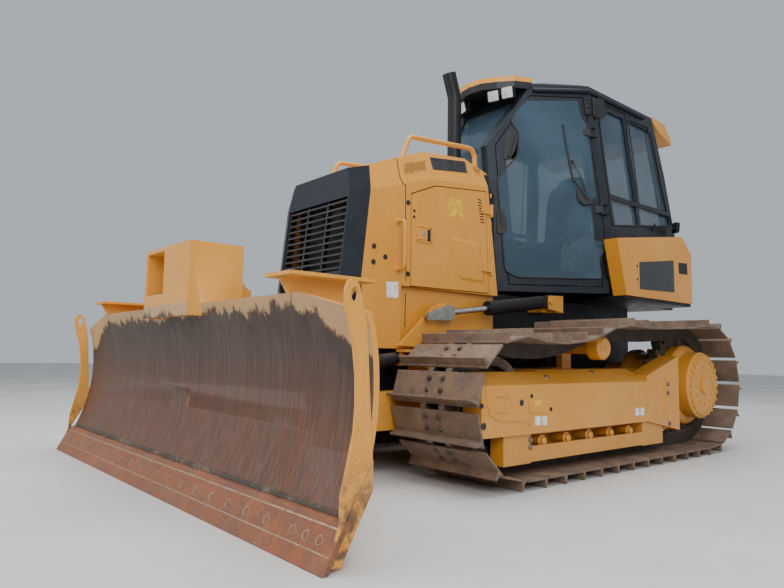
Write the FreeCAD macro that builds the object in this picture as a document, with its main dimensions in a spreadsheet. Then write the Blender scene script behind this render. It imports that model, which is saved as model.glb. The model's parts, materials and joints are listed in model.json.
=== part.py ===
"""A small crawler dozer on wide low ground pressure shoes.

Millimetres. +X is the machine's left, -Y its front, +Z up. The origin is on the ground
in the middle between the cutting edge and the end of the drawbar.
"""
import FreeCAD
import Part
import math
import os
import re
import Sketcher

DOC = FreeCAD.newDocument("crawler_dozer")

# Driving dimensions. A place is given in the frame above; the rest are lengths.
SIZES = {
    # Tracks: place, chain section and shoe section
    "track_x": 862,
    "shoe_width": 620,
    "shoe_count": 38,
    "link_low": 45,
    "link_high": 38,
    "strand_in": 45,
    "strand_out": 85,
    "plate_thick": 10,
    "grouser_height": 44,
    "shoe_gap": 6,
    "grouser_place": 14,
    "grouser_top": 10,
    "grouser_root": 24,
    "pin_start_y": 1133,
    "idler_y": -635,
    "idler_radius": 320,
    "idler_leave": 80,
    "carrier_y": 310,
    "carrier_pitch_z": 836,
    "sprocket_y": 1555,
    "sprocket_radius": 393,
    "sprocket_meet": 96.5,
    "rolling_gap": 0.3,
    # Rolling gear, across its own axle from the track's middle
    "idler_half": 85,
    "idler_rim": 52,
    "idler_flange": 40,
    "idler_flange_rise": 7,
    "idler_web": 30,
    "idler_hub_radius": 95,
    "axle_radius": 40,
    "axle_half": 120,
    "roller_radius": 80,
    "roller_half": 88,
    "roller_flange": 38,
    "roller_flange_radius": 84,
    "roller_first_y": -335,
    "roller_step": 226.5,
    "roller_count": 7,
    "roller_axle_radius": 28,
    "roller_axle_in": 140,
    "roller_axle_out": 180,
    "carrier_half": 88,
    "carrier_fall": 103,
    "carrier_cap_radius": 73,
    "carrier_cap_start": 96,
    "carrier_cap_end": 188,
    "carrier_axle_radius": 30,
    "carrier_post_radius": 46,
    "carrier_post_half": 50,
    # Track frame, across from the track's middle
    "frame_in": 210,
    "frame_out": 235,
    "frame_low": 268,
    "frame_side_top": 525,
    "frame_top": 600,
    "frame_top_out": 83,
    "frame_top_in": 107,
    "frame_in_top": 540,
    "frame_front": -885,
    "frame_rear": 735,
    "wheel_slot": 105,
    "idler_slot_end": -250,
    "roller_slot_top": 320,
    "rail_in": 108,
    "rail_out": 140,
    "rail_top": 275,
    "block_in": 123,
    "block_out": 210,
    "block_low": 112,
    "front_block_start": -690,
    "front_block_end": -465,
    "rear_block_start": 695,
    "rear_block_end": 965,
    "strip_thick": 16,
    "strip_low": 118,
    "strip_top": 200,
    "tail_in": 98,
    "tail_end": 1160,
    "tail_low": 187,
    "tail_top": 693,
    "tail_front_top": 563,
    "beam_in": 225,
    "beam_out": 115,
    "beam_low": 340,
    "beam_top": 600,
    "seat_out": 118,
    "seat_start": 190,
    "seat_end": 290,
    "seat_top": 605,
    # Final drive
    "motor_radius": 160,
    "motor_end": 560,
    "drive_flange_radius": 260,
    "drive_flange_end": 600,
    "housing_radius": 235,
    "hub_radius": 200,
    "sprocket_half": 35,
    "drum_radius": 290,
    "drum_end": 110,
    "cover_radius": 240,
    "cover_end": 223,
    "cap_radius": 228,
    "cap_end": 235,
    "cap_boss_radius": 62,
    "drive_lug_count": 24,
    "drive_lug_length": 46,
    "drive_lug_width": 22,
    "tooth_count": 28,
    "tooth_root_radius": 352,
    "tooth_tip_radius": 402,
    "tooth_root_width": 52,
    "tooth_tip_width": 22,
    # Main frame
    "main_half": 355,
    "main_front": -1060,
    "main_rear": 1815,
    "main_low": 332,
    "main_top": 720,
    "deck_front": 10,
    "deck_top": 1096,
    "platform_half": 865,
    "platform_front": 880,
    "platform_rear": 1885,
    "platform_low": 1090,
    "platform_top": 1114,
    "tank_shelf_half": 600,
    "tank_shelf_rear": 2125,
    "cab_mount_radius": 50,
    "cab_mount_front": 1000,
    "cab_mount_rear": 1760,
    "cab_mount_x": 560,
    "shaft_radius": 70,
    "shaft_y": 1000,
    "shaft_z": 400,
    "equalizer_top": 690,
    "equalizer_end": 700,
    "drawbar_half": 110,
    "drawbar_low": 420,
    "drawbar_top": 500,
    "drawbar_end": 2135,
    "drawbar_pin_y": 2045,
    "drawbar_pin_radius": 25,
    # Hood, engine and cowl
    "hood_half": 444,
    "hood_top_half": 404,
    "hood_low": 705,
    "hood_skin": 30,
    "hood_recess_half": 405,
    "hood_recess_top": 1069,
    "hood_recess_front": -845,
    "hood_rear_low_y": 5,
    "hood_rear_low_z": 1090,
    "hood_rear_top_y": -105,
    "hood_rear_top_z": 1880,
    "hood_cavity_front": -1060,
    "hood_cavity_rear": -140,
    "cap_face_half": 322,
    "grille_half": 312,
    "grille_low": 1135,
    "grille_high": 1567,
    "grille_bars": 11,
    "grille_bar": 12,
    "grille_depth": 34,
    "grille_set": 8,
    "grille_divider": 14,
    "grille_divider_x": 104,
    "radiator_half": 340,
    "radiator_front": -1055,
    "radiator_rear": -985,
    "radiator_top": 1620,
    "engine_half": 250,
    "engine_front": -900,
    "engine_rear": -170,
    "engine_top": 1480,
    "door_gap": 6,
    "hinge_y": -66,
    "hinge_out": 11,
    "hinge_radius": 10,
    "hinge_pin_radius": 5,
    "hinge_half": 26,
    "hinge_low_z": 1245,
    "hinge_high_z": 1630,
    "cab_hinge_out": 15,
    "cab_hinge_back": 3,
    "cab_hinge_low_z": 1740,
    "cab_hinge_high_z": 2330,
    "cab_hinge_radius": 13,
    "cab_hinge_pin_radius": 7,
    "cab_hinge_half": 26,
    "door_thick": 30,
    "cowl_half": 270,
    "cowl_front": -60,
    "cowl_rear": 172,
    "cowl_top": 1850,
    "rail_tube": 16,
    "rail_x": 372,
    "rail_bend": 60,
    "stack_x": 20,
    "stack_y": 20,
    "stack_radius": 50,
    "stack_bore": 44,
    "stack_bend_z": 2560,
    "stack_top": 2730,
    "stack_lean": 60,
    # Cab
    "cab_wall": 45,
    "cab_floor": 1130,
    "cab_head": 2640,
    "roof_crown": 60,
    "roof_crown_inset": 110,
    "glass_inset": 14,
    "glass_thick": 7,
    "seat_half": 240,
    "console_in": 275,
    "console_out": 385,
    # Rear boxes, fuel tank
    "box_in": 776,
    "box_out": 880,
    "tank_half": 600,
    "tank_front": 1925,
    "tank_top": 1640,
    "tank_round": 60,
    # Roof caps and lamps
    "visor_low": 2655,
    "visor_top": 2745,
    "visor_skin": 22,
    "rear_cap_half": 620,
    "rear_cap_end": 2130,
    "lamp_width": 78,
    "lamp_depth": 60,
    "lamp_height": 52,
    "lamp_y": 330,
    "lamp_in_x": 130,
    "lamp_out_x": 240,
    # Push frame and its pivots
    "push_y": 515,
    "push_z": 420,
    "push_pin_radius": 45,
    "push_boss_radius": 95,
    "push_pin_end": 534,
    "arm_in": 458,
    "arm_out": 528,
    "pin_gap": 0.05,
    "cross_front": -1400,
    "cross_rear": -1235,
    "cross_low": 262,
    "cross_top": 448,
    "yaw_y": -1685,
    "yaw_low": 300,
    "yaw_high": 500,
    "yaw_plate": 45,
    "yaw_pin_radius": 40,
    "yaw_eye_radius": 75,
    "nose_half": 170,
    "side_gap": 0.5,
    # Lift cylinders
    "lift_x": 498,
    "lift_eye_y": -535,
    "lift_eye_z": 925,
    "lift_eye_radius": 40,
    "lift_eye_half": 22,
    "lift_rod_radius": 20,
    "lift_base_y": 475,
    "lift_base_z": 1060,
    "lift_barrel_radius": 45,
    "lift_head_radius": 47,
    "lift_barrel_start": 75,
    "lift_barrel_end": 638,
    "lift_rod_inside": 175,
    "lift_stroke_back": 200,
    "lift_base_pin_radius": 22,
    "lift_base_half": 22,
    "riser_thick": 20,
    "riser_eye_radius": 62,
    "flag_thick": 12,
    "bracket_rear": 620,
    "bracket_low": 985,
    "bracket_top": 1108,
    # Angle cylinders
    "angle_base_x": 477.5,
    "angle_base_y": -850,
    "angle_base_z": 655,
    "angle_ear_x": 600,
    "angle_ear_y": -1765,
    "angle_ear_z": 570,
    "angle_barrel_radius": 35,
    "angle_rod_radius": 20,
    "angle_barrel_start": 70,
    "angle_barrel_end": 640,
    "angle_rod_inside": 280,
    "angle_stroke_back": 265,
    "angle_ball_half": 30,
    "angle_pin_radius": 13,
    "angle_eye_radius": 30,
    "angle_eye_half": 14,
    "ear_open": 78,
    "ear_plate": 18,
    # Swivel head and tilt cylinder
    "tilt_z": 400,
    "tilt_pin_radius": 45,
    "tilt_pin_front": -1850,
    "head_half": 55,
    "post_front": -1655,
    "post_rear": -1590,
    "post_half": 45,
    "post_top": 1010,
    "link_front": -1795,
    "link_z": 1055,
    "tilt_base_x": -60,
    "tilt_base_z": 880,
    "tilt_end_x": 720,
    "tilt_end_z": 800,
    "tilt_y": -1728,
    "tilt_barrel_radius": 38,
    "tilt_head_radius": 41,
    "tilt_barrel_start": 60,
    "tilt_barrel_end": 470,
    "tilt_rod_inside": 130,
    "tilt_stroke_back": 115,
    "tilt_rod_radius": 18,
    "tilt_eye_radius": 34,
    "tilt_eye_half": 18,
    "tilt_small_pin": 16,
    # Blade
    "blade_half": 1575,
    "end_thick": 65,
    "edge_y": -2135,
    "edge_top": 150,
    "edge_thick": 22,
    "edge_run": 81,
    "board_radius": 926,
    "board_thick": 26,
    "board_top": 850,
    "board_top_run": 152,
    "crest_z": 900,
    "crest_half": 1160,
    "crest_end_z": 806,
    "cutter_end": 330,
}


def table(prefix, columns, rows):
    """Adds the sizes PREFIX_ROW_COLUMN of a short table and returns its row names."""
    for name, *values in rows:
        for column, value in zip(columns, values):
            SIZES[f"{prefix}_{name}_{column}"] = value
    return [row[0] for row in rows]


# Hood sections from front to rear: place, height of the crease, height of the top
HOOD = table("hood", ("y", "crease", "top"), (
    ("nose", -1160, 1574, 1712),
    ("front", -1084, 1596, 1745),
    ("slope", -885, 1655, 1827),
    ("brow", -655, 1735, 1915),
    ("crown", -280, 1778, 1952),
    ("tail", -74, 1795, 1897),
    ("rear", 25, 1800, 1840),
))
# The line where hood and front cap meet: height, place, half width
FRONT = table("front", ("z", "y", "half", "depth"), (
    ("low", 760, -1090, 444, 15),
    ("mid", 1069, -1141, 444, 60),
    ("high", 1596, -1084, 444, 60),
    ("top", 1745, -1067, 404, 60),
))
# Engine door outline: place along and height
ENGINE_DOOR = table("engine_door", ("y", "z"), (
    ("front_top", -773, 1621),
    ("bend", -577, 1704),
    ("rear_top", -117, 1751),
    ("rear_low", -86, 1082),
    ("front_low", -771, 1075),
))
# Cab plan by level: height, front post A, middle post B, rear post C
CAB = table("cab", ("z", "ax", "ay", "bx", "by", "cx", "cy"), (
    ("sill", 1130, 270, 215, 750, 865, 735, 1905),
    ("belt", 1600, 243, 185, 772, 865, 752, 1905),
    ("eyes", 2200, 194, 178, 689, 847, 680, 1865),
    ("eaves", 2700, 365, 488, 620, 833, 620, 1785),
))
# Cab door outline on its slanting side: distance from the middle post, height
CAB_DOOR = table("cab_door", ("along", "z"), (
    ("rear_low", 52, 1182),
    ("front_low", 725, 1182),
    ("front_belt", 790, 1600),
    ("front_eyes", 765, 2200),
    ("front_top", 455, 2600),
    ("rear_top", 52, 2600),
    ("rear_belt", 52, 1600),
))
CAB_DOOR_PANE = table("door_pane", ("along", "z"), (
    ("rear_low", 120, 1290),
    ("front_low", 665, 1290),
    ("front_belt", 722, 1600),
    ("front_eyes", 698, 2175),
    ("front_top", 420, 2525),
    ("rear_top", 120, 2525),
    ("rear_belt", 120, 1600),
))
WINDSHIELD = table("windshield", ("x", "z"), (
    ("low", 200, 1300),
    ("belt", 185, 1600),
    ("eyes", 140, 2200),
    ("top", 235, 2560),
))
SIDE_PANES = table("side_pane", ("front_low_y", "front_low_z", "rear_low_y", "rear_low_z", "front_top_y", "rear_top_y"), (
    ("front", 935, 1640, 1290, 1690, 915, 1290),
    ("rear", 1335, 1697, 1835, 1770, 1335, 1735),
))
REAR_PANE = table("rear_pane", ("x", "z"), (
    ("low", 640, 1780),
    ("top", 560, 2560),
))
REAR_BOX = table("rear_box", ("y", "z"), (
    ("front_low", 875, 1114),
    ("front_top", 760, 1505),
    ("top", 1728, 1640),
    ("rear_top", 1885, 1511),
    ("rear_low", 1880, 1114),
))
VISOR = table("visor", ("x", "y"), (
    ("middle", 0, 211),
    ("inner", 100, 225),
    ("bend", 200, 285),
    ("outer", 300, 365),
    ("corner", 367, 487),
))
# Push arm outline: place along and height
ARM = table("arm", ("y", "z"), (
    ("rear_top", 515, 510),
    ("rear_low", 515, 325),
    ("knee", -600, 262),
    ("front_low", -1400, 262),
    ("front_top", -1400, 448),
    ("rise", -1000, 470),
))
RISER = table("riser", ("y", "z"), (
    ("heel", -300, 440),
    ("rear", -300, 560),
    ("eye_rear", -480, 952),
    ("eye_front", -598, 968),
    ("nose_top", -885, 722),
    ("nose_low", -715, 716),
    ("toe", -715, 440),
))
END_PLATE = table("end_plate", ("y", "z"), (
    ("toe", -2115, 20),
    ("front_low", -2075, 160),
    ("front_knee", -2029, 343),
    ("front_mid", -1999, 512),
    ("front_high", -2046, 805),
    ("ear_front", -2020, 895),
    ("ear_rear", -1975, 900),
    ("rear_high", -1963, 704),
    ("rear_mid", -1943, 481),
    ("rear_knee", -1937, 334),
    ("rear_low", -2036, 60),
))

SHEET = DOC.addObject("Spreadsheet::Sheet", "sizes")
for row_number, (size_name, size_value) in enumerate(SIZES.items(), start=1):
    SHEET.set(f"A{row_number}", size_name)
    SHEET.set(f"B{row_number}", str(size_value))
    SHEET.setAlias(f"B{row_number}", size_name)
DOC.recompute()

NAMES = re.compile(r"\b(" + "|".join(sorted(SIZES, key=len, reverse=True)) + r")\b")
PARTS = {}


def bound(text):
    """An expression on the sheet's cells, from one written with their names."""
    return NAMES.sub(r"sizes.\1", str(text))


def number(text):
    """The value of such an expression."""
    return float(SHEET.evalExpression(bound(text)))


def vector(x_place, y_place, z_place):
    """A point from three expressions."""
    return FreeCAD.Vector(number(x_place), number(y_place), number(z_place))


def keep(label, thing):
    """Names a sub-part after its node and files it for export."""
    thing.Label = label
    PARTS[label] = thing
    return thing


class Piece:
    """A sub-part built up from closed outlines on its body's own planes."""

    def __init__(self, label, kept=True):
        self.label = label
        self.body = DOC.addObject("PartDesign::Body", label)
        self.role = {item.Role: item for item in self.body.Origin.OriginFeatures}
        if kept:
            keep(label, self.body)

    def outline(self, plane, offsets, loops):
        """A sketch of closed loops: expression pairs, or ("circle", u, v, radius)."""
        sketch = self.body.newObject("Sketcher::SketchObject", f"{self.label}_outline")
        sketch.AttachmentSupport = [(self.role[f"{plane}_Plane"], "")]
        sketch.MapMode = "FlatFace"
        for axis, offset in zip("xyz", offsets):
            sketch.setExpression(f"AttachmentOffset.Base.{axis}", bound(offset))
        for loop in loops:
            if loop[0] == "circle":
                self.circle(sketch, *loop[1:])
            else:
                self.polygon(sketch, loop)
        return sketch

    def circle(self, sketch, centre_u, centre_v, radius):
        centre = FreeCAD.Vector(number(centre_u), number(centre_v), 0)
        ring = Part.Circle(centre, FreeCAD.Vector(0, 0, 1), number(radius))
        index = sketch.addGeometry(ring, False)
        self.hold(sketch, "Radius", (index,), radius)
        self.hold(sketch, "DistanceX", (index, 3), centre_u)
        self.hold(sketch, "DistanceY", (index, 3), centre_v)

    def polygon(self, sketch, points):
        """Straight sides; a point with a third item ends an arc of that radius."""
        places = [FreeCAD.Vector(number(point[0]), number(point[1]), 0) for point in points]
        sides = []
        for index, point in enumerate(points):
            start = places[index - 1]
            end = places[index]
            if len(point) == 3:
                sides.append(sketch.addGeometry(arc_between(start, end, number(point[2])), False))
            else:
                sides.append(sketch.addGeometry(Part.LineSegment(start, end), False))
        joins = []
        for index, side in enumerate(sides):
            following = sides[(index + 1) % len(sides)]
            joins.append(Sketcher.Constraint("Coincident", side, 2, following, 1))
        sketch.addConstraint(joins)
        for side, point in zip(sides, points):
            self.hold(sketch, "DistanceX", (side, 2), point[0])
            self.hold(sketch, "DistanceY", (side, 2), point[1])
            if len(point) == 3:
                self.hold(sketch, "Radius", (side,), f"abs({point[2]})")

    def hold(self, sketch, kind, where, text):
        index = sketch.addConstraint(Sketcher.Constraint(kind, *where, number(text)))
        name = f"{kind}_{index}"
        sketch.renameConstraint(index, name)
        sketch.setExpression(f"Constraints.{name}", bound(text))

    def slab(self, kind, plane, low, high, loops):
        middle = f"(({low}) + ({high})) / 2"
        if plane == "XZ":
            middle = f"-({middle})"
        sketch = self.outline(plane, ("0", "0", middle), loops)
        feature = self.body.newObject(f"PartDesign::{kind}", f"{self.label}_{kind.lower()}")
        feature.Profile = sketch
        feature.SideType = "Symmetric"
        feature.setExpression("Length", bound(f"({high}) - ({low})"))
        sketch.Visibility = False
        return feature

    def pad(self, plane, low, high, *loops):
        return self.slab("Pad", plane, low, high, loops)

    def pocket(self, plane, low, high, *loops):
        return self.slab("Pocket", plane, low, high, loops)

    def turn(self, along, centre, loop, kind="Revolution"):
        """Turns a half outline (distance along, radius) about an axis through a place."""
        centre_x, centre_y, centre_z = centre
        if along == "X":
            sketch = self.outline("XZ", (centre_x, centre_z, f"-({centre_y})"), [loop])
            axis = "H_Axis"
        elif along == "Y":
            sketch = self.outline("YZ", (centre_y, centre_z, centre_x), [loop])
            axis = "H_Axis"
        else:
            swapped = [(point[1], point[0]) for point in loop]
            sketch = self.outline("XZ", (centre_x, centre_z, f"-({centre_y})"), [swapped])
            axis = "V_Axis"
        feature = self.body.newObject(f"PartDesign::{kind}", f"{self.label}_turned")
        feature.Profile = sketch
        feature.ReferenceAxis = (sketch, [axis])
        feature.Angle = 360
        return feature

    def loft(self, kind, plane, sections):
        """Straight-sided loft through (level, loop) sections."""
        sketches = []
        for level, loop in sections:
            height = f"-({level})" if plane == "XZ" else level
            sketches.append(self.outline(plane, ("0", "0", height), [loop]))
        feature = self.body.newObject(f"PartDesign::{kind}", f"{self.label}_loft")
        feature.Profile = sketches[0]
        feature.Sections = sketches[1:]
        feature.Ruled = True
        return feature

    def mirror(self):
        """Adds the body's own mirror image across the machine's middle."""
        feature = self.body.newObject("PartDesign::Mirrored", f"{self.label}_mirrored")
        feature.TransformMode = "Whole shape"
        feature.MirrorPlane = (self.role["YZ_Plane"], [""])
        self.body.Tip = feature
        return feature

    def place(self, base, across, back):
        """Sets a piece drawn along its own -Y: `across` is its X, `back` its Y direction."""
        up = across.cross(back)
        turn = FreeCAD.Rotation(across, back, up, "YXZ")
        self.body.Placement = FreeCAD.Placement(base, turn)


def arc_between(start, end, radius):
    """The short arc from start to end; a positive radius bulges to the right of the way."""
    chord = end - start
    middle = (start + end) * 0.5
    right = FreeCAD.Vector(chord.y, -chord.x, 0).normalize()
    size = abs(radius)
    rise = size - math.sqrt(size ** 2 - (chord.Length / 2) ** 2)
    top = middle + right * math.copysign(rise, radius)
    return Part.Arc(start, top, end)


def block(x_low, x_high, z_low, z_high):
    """A rectangle given by its sides."""
    return [(x_low, z_low), (x_high, z_low), (x_high, z_high), (x_low, z_high)]


def outline_of(prefix, rows, first="y", second="z"):
    """The loop of a table's places."""
    return [(f"{prefix}_{row}_{first}", f"{prefix}_{row}_{second}") for row in rows]


def right_hand(label, piece):
    """The mirror image of a left-hand sub-part, as a sub-part of its own."""
    twin = DOC.addObject("Part::Mirroring", label)
    twin.Source = piece.body if isinstance(piece, Piece) else piece
    twin.Normal = (1, 0, 0)
    twin.Base = (0, 0, 0)
    return keep(label, twin)


def trimmed(label, piece, cutter):
    """A sub-part that is a body less what another sub-part takes of it."""
    thing = DOC.addObject("Part::Cut", label)
    thing.Base = piece.body
    thing.Tool = cutter
    return keep(label, thing)


def feature(label, shape, kept=True):
    """A sub-part with a shape worked out by Part's own functions."""
    thing = DOC.addObject("Part::Feature", label)
    thing.Shape = shape
    return keep(label, thing) if kept else thing


PITCH_Z = "(link_high + plate_thick + grouser_height)"
IDLER_Z = f"({PITCH_Z} + idler_radius)"
SPROCKET_Z = f"({PITCH_Z} + sprocket_radius)"
CARRIER_Z = "(carrier_pitch_z - carrier_fall)"


def point_on(centre_y, centre_z, radius, degrees):
    """A place on a wheel's pitch circle, seen from the machine's left."""
    angle = math.radians(degrees)
    return FreeCAD.Vector(0, centre_y + radius * math.cos(angle), centre_z + radius * math.sin(angle))


def sagging(start, end, rise_degrees):
    """The arc of hanging chain that leaves `start` along a given slope."""
    chord = end - start
    slope = math.degrees(math.atan2(chord.z, chord.y))
    sag = chord.Length / 2 * math.tan(math.radians(slope - rise_degrees) / 2)
    down = FreeCAD.Vector(0, chord.z, -chord.y).normalize()
    return Part.Arc(start, (start + end) * 0.5 + down * sag, end)


def chain_pins():
    """The places of all track pins, from the named start round the loop."""
    ground = number(PITCH_Z)
    idler = (number("idler_y"), number(IDLER_Z), number("idler_radius"))
    sprocket = (number("sprocket_y"), number(SPROCKET_Z), number("sprocket_radius"))
    leave = number("idler_leave")
    meet = number("sprocket_meet")
    start = FreeCAD.Vector(0, number("pin_start_y"), ground)
    idler_low = point_on(*idler, 270)
    idler_top = point_on(*idler, leave)
    carrier = vector(0, "carrier_y", "carrier_pitch_z")
    sprocket_top = point_on(*sprocket, meet)
    sprocket_low = point_on(*sprocket, 270)
    back_slope = math.degrees(math.atan2((sprocket_top - carrier).z, (sprocket_top - carrier).y))
    path = Part.Wire([
        Part.LineSegment(start, idler_low).toShape(),
        Part.Arc(idler_low, point_on(*idler, (leave + 270) / 2), idler_top).toShape(),
        sagging(idler_top, carrier, leave - 90).toShape(),
        sagging(carrier, sprocket_top, 2 * back_slope - (meet - 90)).toShape(),
        Part.Arc(sprocket_top, point_on(*sprocket, meet / 2 - 45), sprocket_low).toShape(),
        Part.LineSegment(sprocket_low, start).toShape(),
    ])
    return path.discretize(Number=int(number("shoe_count")) + 1)[:-1]


def chain_ring(pins, height):
    """The loop that runs a given height outside the line of pins."""
    corners = []
    for index, pin in enumerate(pins):
        before = (pin - pins[index - 1]).normalize()
        after = (pins[(index + 1) % len(pins)] - pin).normalize()
        along = (before + after).normalize()
        stretch = height / before.dot(along)
        corners.append(pin + FreeCAD.Vector(0, -along.z, along.y) * stretch)
    return Part.makePolygon(corners + corners[:1])


def shoe(pin, following, x_in, width):
    """One shoe on its link: a plate with a single grouser across it."""
    along = (following - pin).normalize()
    outward = FreeCAD.Vector(0, -along.z, along.y)
    span = (following - pin).Length
    low = number("link_high")
    plate = low + number("plate_thick")
    tip = plate + number("grouser_height")
    gap = number("shoe_gap") / 2
    foot = number("grouser_place")
    root = number("grouser_root")
    lean = (root - number("grouser_top")) / 2
    profile = (
        (gap, low),
        (span - gap, low),
        (span - gap, plate),
        (foot + root, plate),
        (foot + root - lean, tip),
        (foot + lean, tip),
        (foot, plate),
        (gap, plate),
    )
    corners = [pin + along * way + outward * height for way, height in profile]
    corners = [corner + FreeCAD.Vector(x_in, 0, 0) for corner in corners]
    face = Part.Face(Part.makePolygon(corners + corners[:1]))
    return face.extrude(FreeCAD.Vector(width, 0, 0))


def track():
    """The left track: two strands of links, closed, and every shoe on them."""
    pins = chain_pins()
    outer = chain_ring(pins, number("link_high"))
    inner = chain_ring(pins, -number("link_low"))
    ring = Part.Face([outer, inner.reversed()])
    ring.validate()
    strand_width = number("strand_out - strand_in")
    strands = []
    for place in ("track_x - strand_out", "track_x + strand_in"):
        strand = ring.extrude(FreeCAD.Vector(strand_width, 0, 0))
        strand.translate(FreeCAD.Vector(number(place), 0, 0))
        strands.append(strand)
    width = number("shoe_width")
    x_in = number("track_x") - width / 2
    shoes = [shoe(pin, pins[(index + 1) % len(pins)], x_in, width) for index, pin in enumerate(pins)]
    return strands[0].multiFuse(strands[1:] + shoes)


def tread_radius(centre_y, centre_z, reach):
    """How large a wheel may be to run just inside the chain near its axle."""
    pins = chain_pins()
    centre = vector(0, centre_y, centre_z)
    near = []
    for index, pin in enumerate(pins):
        after = pins[(index + 1) % len(pins)]
        if min((pin - centre).Length, (after - centre).Length) < number(reach) + 1:
            edge = Part.LineSegment(pin, after).toShape()
            near.append(edge.distToShape(Part.Vertex(centre))[0])
    return min(near) - number("link_low") - number("rolling_gap")


LEFT_TRACK = feature("track_left", track())
right_hand("track_right", LEFT_TRACK)


def idler():
    """Front wheel: two treads, a guide flange between the strands, web, hub and axle."""
    piece = Piece("idler_left")
    tread = tread_radius("idler_y", IDLER_Z, "idler_radius")
    rim = f"{tread:.4f}"
    centre = ("track_x", "idler_y", IDLER_Z)
    piece.turn("X", centre, [
        ("-axle_half", "0"),
        ("axle_half", "0"),
        ("axle_half", "axle_radius"),
        ("idler_half", "axle_radius"),
        ("idler_half", "idler_hub_radius"),
        ("idler_web", "idler_hub_radius + 12"),
        ("idler_web", f"{rim} - idler_rim"),
        ("idler_half", f"{rim} - idler_rim"),
        ("idler_half", rim),
        ("idler_flange", rim),
        ("idler_flange - 6", f"{rim} + idler_flange_rise"),
        ("6 - idler_flange", f"{rim} + idler_flange_rise"),
        ("-idler_flange", rim),
        ("-idler_half", rim),
        ("-idler_half", f"{rim} - idler_rim"),
        ("-idler_web", f"{rim} - idler_rim"),
        ("-idler_web", "idler_hub_radius + 12"),
        ("-idler_half", "idler_hub_radius"),
        ("-idler_half", "axle_radius"),
        ("-axle_half", "axle_radius"),
    ])
    return piece


def track_rollers():
    """Bottom rollers on their axles, in a row along the chain."""
    piece = Piece("track_rollers_left")
    roller_z = f"({PITCH_Z} + link_low + rolling_gap + roller_radius)"
    first = piece.turn("X", ("track_x", "roller_first_y", roller_z), [
        ("-roller_axle_in", "0"),
        ("roller_axle_out", "0"),
        ("roller_axle_out", "roller_axle_radius"),
        ("roller_half", "roller_axle_radius"),
        ("roller_half", "roller_radius"),
        ("roller_flange", "roller_radius"),
        ("roller_flange - 4", "roller_flange_radius"),
        ("4 - roller_flange", "roller_flange_radius"),
        ("-roller_flange", "roller_radius"),
        ("-roller_half", "roller_radius"),
        ("-roller_half", "roller_axle_radius"),
        ("-roller_axle_in", "roller_axle_radius"),
    ])
    row = piece.body.newObject("PartDesign::LinearPattern", "track_rollers_row")
    row.Originals = [first]
    row.Direction = (piece.role["Y_Axis"], [""])
    row.Occurrences = int(number("roller_count"))
    row.setExpression("Length", bound("roller_step * (roller_count - 1)"))
    piece.body.Tip = row
    return piece


def carrier_roller():
    """Upper roller under the returning chain, with its outer cap."""
    piece = Piece("carrier_roller_left")
    tread = f"{tread_radius('carrier_y', CARRIER_Z, 'carrier_fall * 2'):.4f}"
    piece.turn("X", ("track_x", "carrier_y", CARRIER_Z), [
        ("-roller_axle_in", "0"),
        ("carrier_cap_end", "0"),
        ("carrier_cap_end", "carrier_cap_radius - 14"),
        ("carrier_cap_end - 14", "carrier_cap_radius"),
        ("carrier_cap_start", "carrier_cap_radius"),
        ("carrier_cap_start", "carrier_axle_radius"),
        ("carrier_half", "carrier_axle_radius"),
        ("carrier_half", tread),
        ("-carrier_half", tread),
        ("-carrier_half", "carrier_axle_radius"),
        ("-roller_axle_in", "carrier_axle_radius"),
    ])
    return piece


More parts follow.
